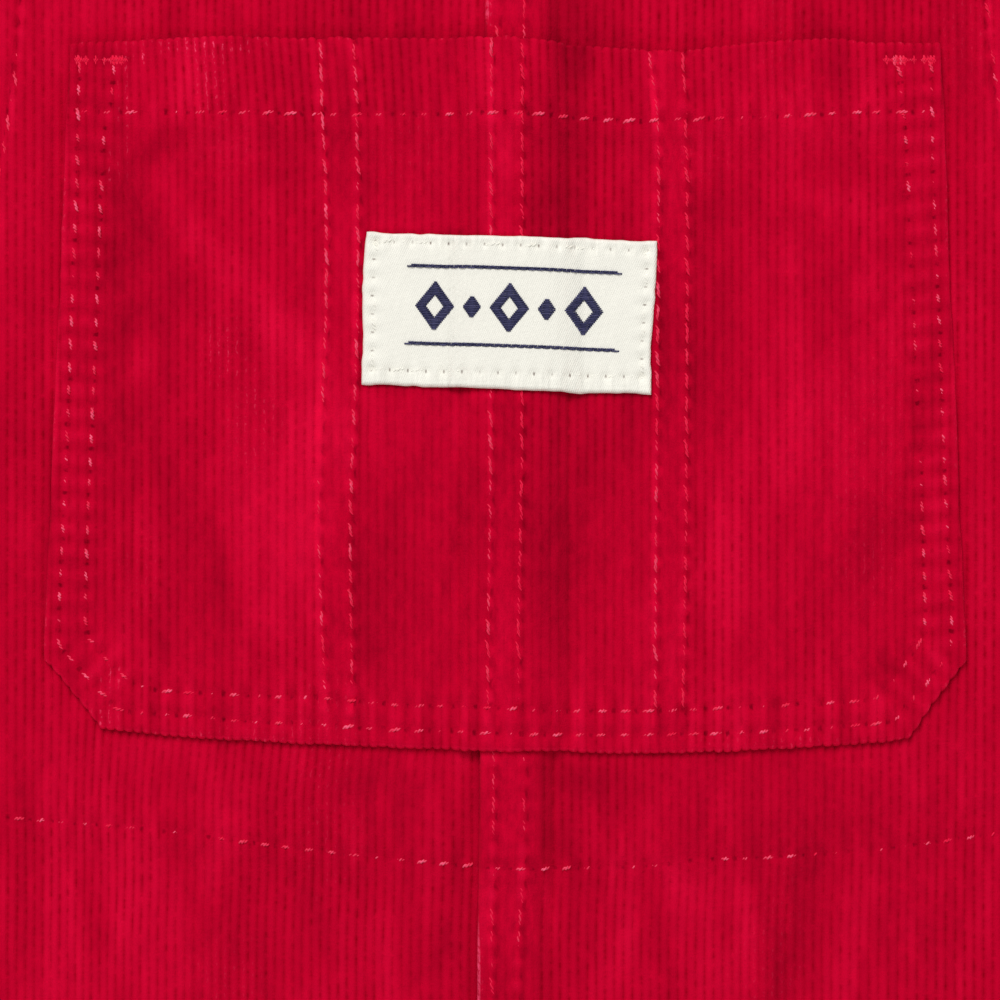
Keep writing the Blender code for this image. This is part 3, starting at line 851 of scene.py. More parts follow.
MERGE = 0.03 * MM
COLUMN_STEPS = np.array((0.0, 0.15, 0.4, 0.8)) * MM  # of the columns nearest to a side
COLUMNS_CLEAR = 0.9 * MM


def wale_columns(start, end, stops):
    """X of a panel's columns: the same few places on every wale, and a few at both ends."""
    first, last = math.floor(start / WALE), math.ceil(end / WALE)
    found = np.array([(number + stop) * WALE for number in range(first, last) for stop in stops])
    inside = found[(found > start + COLUMNS_CLEAR) & (found < end - COLUMNS_CLEAR)]
    return np.concatenate((start + COLUMN_STEPS, inside, end - COLUMN_STEPS[::-1]))


def corners_of(ids):
    """The four corners of every cell of a grid of point numbers."""
    return ids[:-1, :-1], ids[:-1, 1:], ids[1:, 1:], ids[1:, :-1]


def quads(a, b, c, d):
    """Two triangles for every four corners."""
    halves = (np.stack(three, -1).reshape(-1, 3) for three in ((a, b, c), (a, c, d)))
    return np.concatenate(tuple(halves))


def tube_of(ids):
    """Triangles of a tube whose rings of points are the rows of ids."""
    turned = np.roll(ids, -1, 1)
    return quads(ids[:-1], turned[:-1], turned[1:], ids[1:])


def open_edges(triangles, count):
    """First and second points of the edges that only one triangle has."""
    a, b = triangles.ravel(), triangles[:, [1, 2, 0]].ravel()
    alone = ~np.isin(a * count + b, b * count + a)
    return a[alone], b[alone]


def panel_grid(columns, curves, low, high):
    """Points and triangles of a panel cut to low and high, from curves that cross its columns."""
    y = np.sort(np.clip(np.array(curves), low, high), axis=0)
    y = np.where(high - y < MERGE, high, y)
    y = np.where(y - low < MERGE, low, y)
    x = np.broadcast_to(columns, y.shape)
    ids = np.arange(y.size).reshape(y.shape)
    for i in range(1, len(y)):
        ids[i] = np.where(y[i] - y[i - 1] < MERGE / 3, ids[i - 1], ids[i])
    a, b, c, d = corners_of(ids)
    even = (np.add.outer(np.arange(a.shape[0]), np.arange(a.shape[1])) % 2).astype(bool)
    first = np.where(even[..., None], np.stack((a, b, c), -1), np.stack((a, b, d), -1))
    second = np.where(even[..., None], np.stack((a, c, d), -1), np.stack((b, c, d), -1))
    triangles = np.concatenate((first.reshape(-1, 3), second.reshape(-1, 3)))
    p, q, r = triangles.T
    triangles = triangles[(p != q) & (q != r) & (r != p)]
    used, triangles = np.unique(triangles, return_inverse=True)
    return x.ravel()[used], y.ravel()[used], triangles.reshape(-1, 3)


RIM_STEPS = ((0.06 * MM, 0.50), (0.0, 0.18), (-0.9 * MM, 0.02))  # outward, and share of height left


def add_rim(points, triangles, low):
    """Turns a panel's edge down to its lower face, and a little way in under it.

    Also gives, for each point, the panel's point that it comes from."""
    count = len(points)
    start, end = open_edges(triangles, count)
    along = points[end, :2] - points[start, :2]
    normal = np.column_stack((along[:, 1], -along[:, 0]))
    out = np.zeros((count, 2))
    np.add.at(out, start, normal)
    np.add.at(out, end, normal)
    out /= np.maximum(np.hypot(*out.T), TINY)[:, None]
    ring = np.unique(start)
    place = np.full(count, -1)
    place[ring] = np.arange(len(ring))
    all_points, all_triangles, source = [points], [triangles], [np.arange(count)]
    upper = np.arange(count)
    for step, (outward, share) in enumerate(RIM_STEPS):
        lower_points = points[ring].copy()
        lower_points[:, :2] += out[ring] * outward
        lower_points[:, 2] = low[ring] + share * (points[ring, 2] - low[ring])
        lower = np.full(count, -1)
        lower[ring] = count + step * len(ring) + place[ring]
        all_points.append(lower_points)
        source.append(ring)
        all_triangles.append(quads(upper[end], upper[start], lower[start], lower[end]))
        upper = lower
    return np.concatenate(all_points), np.concatenate(all_triangles), np.concatenate(source)


def put(name, data, location=(0.0, 0.0, 0.0)):
    """A new object in the scene."""
    made = bpy.data.objects.new(name, data)
    made.location = location
    bpy.context.scene.collection.objects.link(made)
    return made


def worn_piece(piece, node=None):
    """The piece, riding on the garment's body and in place of its solid if it has one."""
    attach(piece, BODY)
    if node:
        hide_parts(node)
    return piece


def add_mesh(name, points, triangles, material, marks, node=None):
    """A smooth mesh object that rides on the garment. marks are arrays that its shader reads."""
    mesh = bpy.data.meshes.new(name)
    mesh.vertices.add(len(points))
    mesh.vertices.foreach_set("co", np.asarray(points, np.float32).ravel())
    mesh.loops.add(triangles.size)
    mesh.loops.foreach_set("vertex_index", triangles.astype(np.int32).ravel())
    mesh.polygons.add(len(triangles))
    mesh.polygons.foreach_set("loop_start", np.arange(0, triangles.size, 3, dtype=np.int32))
    mesh.update(calc_edges=True)
    mesh.shade_smooth()
    for mark, values in marks.items():
        kind, key = ("FLOAT", "value") if values.ndim == 1 else ("FLOAT_VECTOR", "vector")
        made = mesh.attributes.new(mark, kind, "POINT")
        made.data.foreach_set(key, np.asarray(values, np.float32).ravel())
    mesh.materials.append(material)
    return worn_piece(put(name, mesh), node)


UNEVEN_PER_WALE = 0.77
UNEVEN_LENGTH = 5 * MM


def wale_relief(wale, y, seed):
    """Height of the wales at a wale number, from 0 in a groove up to their crests."""
    fraction = wale - np.floor(wale)
    crest = 1 - np.abs(2 * fraction - 1) ** 3
    uneven = soft_noise(np.floor(wale) * UNEVEN_PER_WALE, y / UNEVEN_LENGTH, seed)
    return WALE_HEIGHT * crest * (1 + WALE_UNEVEN * uneven)


CRISP, CRISP_VARIES = 0.85, 0.35
CRISP_CLOUD = (9 * MM, 20 * MM)
CRISP_LIMITS = (0.12, 1.3)
CRISP_LOST_IN_PAIRS = 0.55
PAIR_REACH_MM = (2.4, 3.8)
CRISP_LOST_IN_MIDDLE = 0.14
MIDDLE_REACH = (22 * MM, 34 * MM)
MIDDLE_TOP = (122 * MM, 132 * MM)
CRISP_MORE_IN_HEM = 0.25
HEM_STARTS = (174 * MM, 176 * MM)
CRISP_MORE_ON_FRONTS = 0.15
CRISP_LOST_ON_LAP = 0.75
LAP_REACH_X = (5 * MM, 6.4 * MM)


def crispness(x, y, on_pocket, seed):
    """How sharply the wales show: least between paired rows and where the pile is ruffled."""
    crisp = CRISP + CRISP_VARIES * soft_noise(x / CRISP_CLOUD[0], y / CRISP_CLOUD[1], seed)
    if on_pocket:
        for pair in zip(DIVIDER_ROWS_MM[::2], DIVIDER_ROWS_MM[1::2]):
            left, right = (np.interp(-y / MM, [-v for _, v in row], [u for u, _ in row]) for row in pair)
            crisp -= CRISP_LOST_IN_PAIRS * (1 - ramp(np.abs(x / MM - (left + right) / 2), *PAIR_REACH_MM))
        middle = 1 - smooth_step(np.abs(x), *MIDDLE_REACH)
        crisp -= CRISP_LOST_IN_MIDDLE * middle * (1 - smooth_step(y, *MIDDLE_TOP))
        crisp += CRISP_MORE_IN_HEM * smooth_step(y, *HEM_STARTS)
    else:
        in_lap = lap_share(x, y) * (1 - ramp(x, *LAP_REACH_X))
        crisp += CRISP_MORE_ON_FRONTS - CRISP_LOST_ON_LAP * in_lap
    return np.clip(crisp, *CRISP_LIMITS)


STRAY_PER_WALE = 0.8
STRAY_LENGTH = 9 * MM
PRESSED_REACH_MM = 0.7
PRESSED_SHARE = 0.45
RUFFLED_SHARE = 0.4  # of the wales' height that is left where they don't show crisply
CREVICE_DEPTH = 0.6 * MM  # for a shade of 1
WALES_AT_EDGE = 0.15
EDGE_LIGHT = 0.14
EDGE_SHADE_LOW, EDGE_SHADE_HIGH = 0.34, 0.12


def corduroy_panel(name, node, grid, edges, form, rows, creases, nap_and_painted_light, crevices, seed):
    """A panel of corduroy with real wales, rounded folded edges and the pull of its stitching.

    grid is what panel_grid takes, and form the functions for its upper and lower face and for how
    far its grain leans."""
    face, floor, shift = form
    x, y, triangles = panel_grid(*grid)
    wale = x / WALE
    stray = WALE_STRAY * soft_noise(wale * STRAY_PER_WALE, y / STRAY_LENGTH, seed)
    moved_x = x + stray + shift(x, y)
    relief, shade, across, along = sewn(moved_x, y, rows)
    pressed = PRESSED_SHARE * bell(np.minimum(across[:, 1], along[:, 1]), PRESSED_REACH_MM)
    crisp = crispness(moved_x, y, node == "pocket", seed + 7)
    full = wale_relief(wale, y, seed + 5)
    relief += (full - WALE_HEIGHT) * (1 - pressed) * (RUFFLED_SHARE + (1 - RUFFLED_SHARE) * crisp)
    relief += CREST + crease_height(moved_x, y, creases)
    for line, strength, reach in crevices:
        shaded = crevice(moved_x, y, line, strength, reach)
        shade += shaded
        relief += CREVICE_DEPTH * shaded
    base = face(moved_x, y)
    edge = np.full(x.shape, EDGE_RADIUS)
    out_x, out_y = np.zeros(x.shape), np.zeros(x.shape)
    for line in edges:
        near = near_line(x, y, line, EDGE_RADIUS)
        closer = near.distance < edge
        edge[closer] = near.distance[closer]
        out_x[closer] = near.out_x[closer]
        out_y[closer] = near.out_y[closer]
    sine = 1 - edge / EDGE_RADIUS
    cosine = np.sqrt(1 - np.minimum(sine, 1) ** 2)
    relief -= WALES_AT_EDGE * sine * (WALE_HEIGHT - full)
    shade += sine * (EDGE_LIGHT - np.where(out_y < 0, EDGE_SHADE_LOW, EDGE_SHADE_HIGH) * out_y)
    points = np.column_stack((
        moved_x + relief * sine * out_x,
        y + relief * sine * out_y,
        base - EDGE_RADIUS * (1 - cosine) + relief * cosine,
    ))
    points, triangles, source = add_rim(points, triangles, floor(moved_x, y))
    marks = {
        "wale": np.column_stack((wale, y / WALE, crisp))[source],
        # the pile's tone, with painted shade and light of folds, crevices, folded edges and stitching
        "nap_and_painted_light": (nap_and_painted_light_at(moved_x, y, nap_and_painted_light, seed + 9) + shade)[source],
        # worn crests, and a painted highlight where the mark passes 1
        "wear_and_highlight": wear_and_highlight_at(moved_x, y, sine)[source],
        "sewn_across": across[source],
        "sewn_along": along[source],
    }
    return add_mesh(name, points, triangles, corduroy, marks, node)


# Patches where the crests are worn pale; where the strength passes 1, the part above 1 is a painted
# highlight, along the lap's folded edge and beside the left bar tack.
WEAR_AND_HIGHLIGHT_MM = (
    (-52.0, 187.0, 8, 1.3, 0, 0.9),
    (-51.0, 181.0, 3.0, 5.0, 0, 0.42),
    (-66.5, 176.0, 0.8, 8.5, 0, 0.72),
    (-68.8, 165.5, 1.0, 2.2, 0, 0.55),
    (-63.0, 184.7, 0.7, 0.7, 0, 1.1),
    (-65.7, 184.9, 0.7, 0.6, 0, 1.1),
    (-49.0, 134.0, 3, 5.0, 0, 0.35),
    (-44.0, 122.0, 4, 8.0, 0, 0.22),
    (-4.55, 24.0, 0.30, 11.0, 0, 2.4),
    (-3.0, 193.0, 0.40, 3.0, 0, 1.8),
    (-69.0, 77.0, 2.0, 2.0, 0, 0.5),
    (-70.0, 69.5, 1.6, 2.0, 0, 0.7),
    (-48.0, 66.4, 12, 1.0, 0, 0.35),
    (47.0, 65.6, 14, 1.0, 0, 0.2),
)
WEAR_CLOUD = (16 * MM, 24 * MM)
WEAR_CLOUD_START = 0.35
WEAR_IN_CLOUD = 0.15
WEAR_ON_EDGE = 0.22


def wear_and_highlight_at(x, y, turned):
    """How worn the cloth is: more on folded edges and in a few patches. Above 1 it is a painted highlight.
    """
    cloud = soft_noise(x / WEAR_CLOUD[0], y / WEAR_CLOUD[1], 77) - WEAR_CLOUD_START
    return WEAR_ON_EDGE * turned + WEAR_IN_CLOUD * np.maximum(cloud, 0) + patches(x, y, WEAR_AND_HIGHLIGHT_MM)


# ---- Finishes ----


class Finish:
    """A material's nodes, with short calls for the ones that the finishes share."""

    def __init__(self, name, values):
        self.material = bpy.data.materials.new(name)
        self.material.use_nodes = True
        self.tree = self.material.node_tree
        self.surface = self.tree.nodes["Principled BSDF"].inputs
        for key, value in values.items():
            self.surface[key].default_value = value

    def feed(self, socket, value):
        if isinstance(value, bpy.types.NodeSocket):
            self.tree.links.new(value, socket)
        else:
            socket.default_value = value

    def node(self, kind, values, **settings):
        """The outputs of a new node whose inputs get these values, by their names or numbers."""
        made = self.tree.nodes.new(kind)
        for key, value in settings.items():
            setattr(made, key, value)
        for key, value in values.items():
            self.feed(made.inputs[key], value)
        return made.outputs

    def math(self, operation, first, second=0.0, third=0.0, clamp=False):
        values = {0: first, 1: second, 2: third}
        return self.node("ShaderNodeMath", values, operation=operation, use_clamp=clamp)[0]

    def times(self, first, second, clamp=False):
        return self.math("MULTIPLY", first, second, clamp=clamp)

    def times_plus(self, first, second, added, clamp=False):
        return self.math("MULTIPLY_ADD", first, second, added, clamp)

    def total(self, start, *parts):
        """start, and each part times its share."""
        for part, share in parts:
            start = self.times_plus(part, share, start)
        return start

    def place(self):
        """Where a point of the piece is, in metres."""
        return self.node("ShaderNodeTexCoord", {})["Object"]

    def attribute(self, name, output="Fac"):
        return self.node("ShaderNodeAttribute", {}, attribute_name=name)[output]

    def split(self, vector):
        return self.node("ShaderNodeSeparateXYZ", {0: vector})

    def join(self, x, y):
        return self.node("ShaderNodeCombineXYZ", {0: x, 1: y})[0]

    def noise(self, vector, scale, detail=2.0, rough=0.5):
        """Noise centred on 0, from about -0.5 to 0.5."""
        values = {"Vector": vector, "Scale": scale, "Detail": detail, "Roughness": rough}
        return self.math("SUBTRACT", self.node("ShaderNodeTexNoise", values)["Fac"], 0.5)

    def range(self, value, start, end, low=0.0, high=1.0):
        values = {0: value, 1: start, 2: end, 3: low, 4: high}
        return self.node("ShaderNodeMapRange", values, interpolation_type="SMOOTHSTEP")[0]

    def mix(self, share, first, second):
        """A colour between two. Numbers stand for the sockets, because several share a name."""
        return self.node("ShaderNodeMix", {"Factor": share, 6: first, 7: second}, data_type="RGBA")[2]

    def scaled(self, colour, amount):
        vector = colour if isinstance(colour, bpy.types.NodeSocket) else colour[:3]
        return self.node("ShaderNodeVectorMath", {0: vector, "Scale": amount}, operation="SCALE")[0]

    def bump(self, height_mm):
        values = {"Strength": 1.0, "Distance": MM, "Height": height_mm}
        self.feed(self.surface["Normal"], self.node("ShaderNodeBump", values)[0])

    def colour(self, value):
        self.feed(self.surface["Base Color"], value)


def rgb(red, green, blue):
    return (red, green, blue, 1.0)


PILE_CREST = rgb(0.605, 0.0012, 0.0275)
PILE_LIT = rgb(0.645, 0.0028, 0.0360)
# painted shade deep in the grooves between the wales
PILE_GROOVE_SHADE = rgb(0.330, 0.0004, 0.0100)
# worn crests, and the painted highlight along the lap's folded edge
PILE_RUBBED_AND_HIGHLIT = rgb(1.000, 0.085, 0.210)
THREAD_RED = rgb(0.850, 0.0060, 0.0550)
# painted highlight on the red thread's stitches
THREAD_HIGHLIGHT = rgb(1.000, 0.120, 0.235)
LABEL_CREAM = rgb(0.970, 0.946, 0.850)
THREAD_CREAM = rgb(0.965, 0.942, 0.850)
# painted shade in the label's needle holes
LABEL_HOLE_SHADE = rgb(0.190, 0.130, 0.110)
NAVY = rgb(0.030, 0.030, 0.090)
NAVY_WORN = rgb(0.110, 0.105, 0.230)
BUTTON_RED = rgb(0.380, 0.0040, 0.0200)


def shaded_needle_holes(finish, uneven, start=0.72, reach=0.70, stray=None):
    """Where painted shade darkens the needle holes of rows across the wales: 1 at the holes, pulled out of
    shape by stray, and 0 elsewhere.
    """
    step, away, _ = finish.split(finish.attribute("sewn_across", "Vector"))
    if stray:
        step = finish.times_plus(stray[0], 0.22, step)
        away = finish.math("ABSOLUTE", finish.times_plus(stray[1], 1.1, away))
    turn = finish.times(step, 2 * math.pi)
    at_hole = finish.range(finish.math("COSINE", turn), start, 1.0)
    found = finish.times(at_hole, finish.range(away, reach, 0.05))
    return finish.times(found, uneven, clamp=True)


def shade_beside_thread(finish, stray, uneven):
    """Painted shade of the pits, and of the thread's shadow, that wind along a row of stitches that runs
    with the wales.
    """
    step, away, left_of = finish.split(finish.attribute("sewn_along", "Vector"))
    turn = finish.times(finish.times_plus(stray[0], 0.3, step), 2 * math.pi)
    hole = finish.math("COSINE", turn)
    centre = finish.times_plus(hole, -0.25, 0.72)
    centre = finish.times_plus(stray[1], 0.8, centre)
    off = finish.math("ABSOLUTE", finish.math("SUBTRACT", left_of, centre))
    strength = finish.times_plus(hole, 0.40, 0.26, clamp=True)
    near = finish.times(finish.range(off, 0.42, 0.10), finish.range(away, 1.45, 1.2))
    return finish.times(finish.times(near, strength), uneven, clamp=True)


def make_corduroy(name, relief_mm):
    """Cut pile in wales. relief_mm is the height of the wales where the mesh doesn't have them."""
    finish = Finish(name, {
        "Roughness": 0.92, "Specular IOR Level": 0.0,
        "Sheen Weight": 0.12, "Sheen Roughness": 0.5, "Sheen Tint": rgb(1.0, 0.06, 0.15),
    })
    wale, along, crisp = finish.split(finish.attribute("wale", "Vector"))
    number = finish.math("FLOOR", wale)
    fraction = finish.math("SUBTRACT", wale, number)
    away = finish.math("ABSOLUTE", finish.times_plus(fraction, 2.0, -1.0))
    lane = finish.times(finish.math("FLOOR", finish.math("ADD", wale, 0.5)), 5.3)
    groove = finish.math("POWER", away, 2.2)
    streak = finish.noise(finish.join(finish.times(number, 3.7), along), 0.30, 3.0)
    ticks = finish.noise(finish.join(lane, along), 0.95, 3.0, 0.6)

    def drawn_out(share, *kind):
        """Noise that is stretched along the wales."""
        return finish.noise(finish.join(wale, finish.times(along, share)), *kind)

    mottle, pile = drawn_out(0.42, 1.5, 4.0, 0.62), drawn_out(0.60, 6.5, 2.0, 0.7)
    strays = [drawn_out(0.7, 1.1, 2.0), drawn_out(0.5, 1.4, 2.0)]
    uneven = finish.range(mottle, -0.14, 0.16, 0.0, 1.25)
    holes = shaded_needle_holes(finish, uneven, stray=strays)
    holes = finish.math("MAXIMUM", holes, shade_beside_thread(finish, strays, uneven))
    # The pile's tone, with painted shade and light of folds, crevices, folded edges and stitching; where
    # it is lighter, the crests also take their lit colour.
    nap_and_painted_light = finish.attribute("nap_and_painted_light")
    ruffle = finish.times_plus(crisp, -0.62, 0.96)
    light = finish.total(finish.math("ADD", 1.0, nap_and_painted_light), (streak, 0.34), (mottle, ruffle), (pile, 0.26))
    # painted shade in the needle holes and in the pits beside threads along the wales
    light = finish.times(light, finish.times_plus(holes, -0.52, 1.0))
    # Painted shade in the grooves between the wales: broken up along them, weaker where the wales don't
    # show crisply, and mottled.
    broken = finish.times_plus(ticks, 2.2, 0.42)
    depth = finish.times(finish.times(groove, broken), crisp, clamp=True)
    depth = finish.times_plus(mottle, 0.35, finish.math("ADD", depth, 0.10), clamp=True)
    crest = finish.mix(finish.times_plus(nap_and_painted_light, 4.0, 0.10, clamp=True), PILE_CREST, PILE_LIT)
    pile_colour = finish.mix(depth, crest, PILE_GROOVE_SHADE)
    fibres = drawn_out(0.45, 3.4, 3.0, 0.6)
    wear_and_highlight = finish.attribute("wear_and_highlight")
    rubbed_and_highlit = finish.times(wear_and_highlight, finish.range(away, 0.42, 0.10))
    rubbed_and_highlit = finish.times(rubbed_and_highlit, finish.range(fibres, 0.02, 0.16))
    # painted highlight where the mark passes 1, on crests and grooves alike, along the lap's folded edge
    painted_highlight = finish.math("SUBTRACT", wear_and_highlight, 1.0, clamp=True)
    painted_highlight = finish.times(painted_highlight, finish.range(fibres, -0.20, 0.12))
    rubbed_and_highlit = finish.math("ADD", rubbed_and_highlit, painted_highlight, clamp=True)
    finish.colour(finish.scaled(finish.mix(rubbed_and_highlit, pile_colour, PILE_RUBBED_AND_HIGHLIT), light))
    height = finish.total(finish.times(pile, 0.14), (mottle, 0.20))
    if relief_mm:
        height = finish.times_plus(groove, -relief_mm, height)
    finish.bump(height)
    return finish.material


def make_thread(name, dark, pale, gloss):
    """Twisted sewing thread, some stitches of it paler than others; on the red thread the paler colour is
    a painted highlight.
    """
    finish = Finish(name, {"Roughness": 0.50, "Specular IOR Level": gloss})
    fibre = finish.noise(finish.place(), 5200.0)
    # on the red thread, the second colour is a painted highlight
    share = finish.times_plus(fibre, 0.4, finish.attribute("tone_and_highlight"), clamp=True)
    finish.colour(finish.mix(share, dark, pale))
    finish.bump(finish.times(fibre, 0.05))
    return finish.material


MARGIN_MM = (9.6, 11.4)  # the label's margin starts this far above and below its middle


def make_woven():
    """The label's fine twill."""
    finish = Finish("woven_label", {"Roughness": 0.62, "Specular IOR Level": 0.25})
    u, v, _ = finish.split(finish.attribute("weave", "Vector"))
    slant = finish.times_plus(v, -0.40, u)
    twill = finish.math("SINE", finish.times(slant, 17.0))
    ribs = finish.math("SINE", finish.times(v, 31.0))
    grain = finish.noise(finish.join(finish.times(u, 0.5), v), 5.5, 3.0, 0.65)
    broad = finish.noise(finish.join(u, v), 0.16, 2.0)
    faded = finish.range(finish.noise(finish.join(u, v), 0.6, 2.0), -0.25, 0.15, 0.25, 1.0)
    holes = shaded_needle_holes(finish, faded, 0.90, 0.46)
    shown = finish.range(finish.noise(finish.join(u, v), 0.22, 2.0), -0.2, 0.2, 0.0, 0.035)
    along_slant = finish.times_plus(u, 0.06, finish.times(v, 0.15))
    streaks = finish.noise(finish.join(finish.times(slant, 1.4), along_slant), 1.0, 3.0, 0.6)
    margin = finish.range(finish.math("ABSOLUTE", v), *MARGIN_MM)
    narrow = finish.join(finish.times(u, 1.5), finish.times(v, 0.12))
    pleats = finish.noise(narrow, 1.0, 2.0)
    # the pleats paint light and shade of small puckers in the label's margin
    light = finish.total(
        1.0, (twill, shown), (streaks, 0.10), (ribs, 0.008), (finish.times(pleats, margin), 0.34),
        (grain, 0.07), (broad, 0.05)
    )
    # painted shade in the label's needle holes
    colour = finish.mix(finish.times(holes, 0.85), LABEL_CREAM, LABEL_HOLE_SHADE)
    finish.colour(finish.scaled(colour, light))
    finish.bump(finish.total(finish.times(twill, 0.020), (ribs, 0.010), (grain, 0.05)))
    return finish.material


def make_button_finish():
    """Dyed button, satin and a little marbled."""
    finish = Finish("dyed_button", {"Roughness": 0.34, "Specular IOR Level": 0.5, "Coat Weight": 0.15})
    place = finish.place()
    cloud = finish.noise(place, 260.0, 4.0, 0.6)
    scratch = finish.noise(place, 3800.0)
    light = finish.times_plus(cloud, 0.5, 1.0)
    finish.colour(finish.scaled(BUTTON_RED, light))
    finish.bump(finish.times(scratch, 0.01))
    return finish.material


corduroy = make_corduroy("corduroy", 0.0)
flat_corduroy = make_corduroy("corduroy_flat", 0.28)
red_thread = make_thread("red_thread", THREAD_RED, THREAD_HIGHLIGHT, 0.12)
cream_thread = make_thread("cream_thread", THREAD_CREAM, THREAD_CREAM, 0.3)
navy_thread = make_thread("navy_thread", NAVY, NAVY_WORN, 0.25)
woven = make_woven()
dyed = make_button_finish()


# ---- Threads ----


def arch(share, power):
    """0 at both ends of a thread and 1 at its middle. The lower the power, the flatter its top."""
    return np.sin(np.pi * share) ** power


Yarn = namedtuple("Yarn", "radius twist_radius turns sides points")
FINE = Yarn(0.190 * MM, 0.165 * MM, 1.4, 4, 8)
PLAIN = Yarn(0.150 * MM, 0.085 * MM, 1.0, 4, 6)


def add_yarn(name, paths, tones, material, yarn, thick=1.0):
    """Two twisted strands along each path, as one piece.

    paths is an array of stitches by points by 3, and thick scales the yarn, for all or for each."""
    stitches, count, _ = paths.shape
    tangent = np.gradient(paths, axis=1)
    tangent /= np.linalg.norm(tangent, axis=2, keepdims=True)
    side = np.cross(tangent, (0.0, 0.0, 1.0))
    side /= np.maximum(np.linalg.norm(side, axis=2, keepdims=True), TINY)
    up = np.cross(side, tangent)
    corner = 2 * np.pi * np.arange(yarn.sides) / yarn.sides
    around = side[:, :, None] * np.cos(corner)[:, None] + up[:, :, None] * np.sin(corner)[:, None]
    ring = np.arange(count * yarn.sides).reshape(count, yarn.sides)
    first, last = (np.array([(end[0], end[k], end[k + 1]) for k in range(1, yarn.sides - 1)])
                   for end in (ring[0], ring[-1]))
    tube = np.concatenate((tube_of(ring), first[:, ::-1], last))
    size = np.reshape(thick, (-1, 1, 1))
    points, triangles = [], []
    for strand in range(2):
        angle = 2 * np.pi * yarn.turns * np.linspace(0, 1, count) + np.pi * strand
        offset = side * np.cos(angle)[None, :, None] + up * np.sin(angle)[None, :, None]
        centre = paths + size * yarn.twist_radius * offset
        points.append((centre[:, :, None] + size[..., None] * yarn.radius * around).reshape(-1, 3))
        shift = (strand * stitches + np.arange(stitches)) * count * yarn.sides
        triangles.append((tube[None] + shift[:, None, None]).reshape(-1, 3))
    tones = np.reshape(tones, (stitches, -1)) + np.zeros((stitches, count))
    marks = {"tone_and_highlight": np.tile(np.repeat(tones, yarn.sides, axis=1).ravel(), 2)}
    triangles = np.concatenate(triangles)[:, ::-1]
    return add_mesh(name, np.concatenate(points), triangles, material, marks)


STITCH_SINK = 0.42 * MM
STITCH_RISE = 0.17 * MM
SLANT_ACROSS = math.radians(14)
SLANT_ALONG = math.radians(10)
SLANT_SPREAD = math.radians(8)
WOBBLE_ALONG = 0.10 * MM
THICK_ALONG = 0.96  # rows along the wales sink into the pile, so their thread looks finer
THICK_SPREAD = (0.85, 1.1)
SHOWS_SPREAD, PLACE_SPREAD, WOBBLE_SPREAD = 0.12, 0.06, 0.12
ARCH_POWER = 0.7
SUNK_MM, SUNK_POWER = 0.34, 1.5
PALE_POWER = 1.2
GLINT_PLACE, GLINT_WIDTH, GLINT_SHARE = (0.3, 0.7), 0.22, 0.65


def stitch_paths(row, seat, rng, points):
    """Centre lines of a row's stitches: each comes up out of the cloth and goes down again."""
    along = line_lengths(row.line)
    count = max(1, round(along[-1] / row.pitch))
    share = np.linspace(0, 1, points)

    def stray(low, high):
        """A random number for each stitch."""
        return rng.uniform(low, high, (count, 1))

    shows = row.shows + stray(-SHOWS_SPREAD, SHOWS_SPREAD)
    middle = np.arange(count)[:, None] + 0.5 + stray(-PLACE_SPREAD, PLACE_SPREAD)
    stops = (middle + (share - 0.5) * shows) * row.pitch
    x, y = (np.interp(stops, along, side) for side in row.line.T)
    turn = (SLANT_ACROSS if row.across else SLANT_ALONG) + stray(-SLANT_SPREAD, SLANT_SPREAD)
    mid_x, mid_y = x.mean(1, keepdims=True), y.mean(1, keepdims=True)
    dx, dy = x - mid_x, y - mid_y
    x = mid_x + dx * np.cos(turn) - dy * np.sin(turn)
    y = mid_y + dx * np.sin(turn) + dy * np.cos(turn)
    if not row.across:
        x = x + WOBBLE_ALONG * np.sin(2 * np.pi * (share + stray(-WOBBLE_SPREAD, WOBBLE_SPREAD)))
    sunk = (row.sunk + SUNK_MM * stray(0, 1) ** SUNK_POWER) * MM
    height = arch(share, ARCH_POWER) * (STITCH_RISE + STITCH_SINK) - STITCH_SINK - sunk
    # bright and glint paint a highlight on the thread: stronger on some stitches, and strongest at one
    # place along each
    bright = row.pale * stray(0, 1) ** PALE_POWER
    glint = 1 - GLINT_SHARE + GLINT_SHARE * bell(share - stray(*GLINT_PLACE), GLINT_WIDTH)
    thick = (1.0 if row.across else THICK_ALONG) * rng.uniform(*THICK_SPREAD, count)
    return np.stack((x, y, seat(x, y) + CREST + height), -1), bright * glint, thick


def sew(name, rows, seat, material, yarn, seed):
    """All stitches of some rows, as one piece."""
    rng = np.random.default_rng(SEED + seed)
    made = [stitch_paths(row, seat, rng, yarn.points) for row in rows]
    paths, tones, thick = (np.concatenate(parts) for parts in zip(*made))
    return add_yarn(name, paths, tones, material, yarn, thick)


# ---- Fronts ----

FRONT_STOPS = (0.0, 0.17, 0.39, 0.61, 0.83)  # places on a wale where a column runs
EDGE_STEPS = np.array((0.0, 0.12, 0.32, 0.60, 1.0, 1.6)) * MM
ROW_STEPS = np.array((-0.9, -0.45, 0.0, 0.45, 0.9)) * MM
ARMHOLE_INSET = 6.5 * MM
HEM_ROW_LEVEL = HEM + HEM_DEPTH - 2.2 * MM
TOP_ROWS = (BIB_TOP - 2.2 * MM, BIB_TOP - TOP_HEM_DEPTH + 1.5 * MM)
VIEW_BOTTOM = 16 * MM  # below this the rows of points lie further apart
LAP_ROW_LEVELS = (25 * MM, 45 * MM, 60 * MM, 150 * MM, 190 * MM)
LAP_ROW_OFFSETS_MM = ((2.4, 2.3, 2.3, 2.0, 1.9), (6.9, 7.6, 7.6, 6.9, 6.6))  # from the folded edge


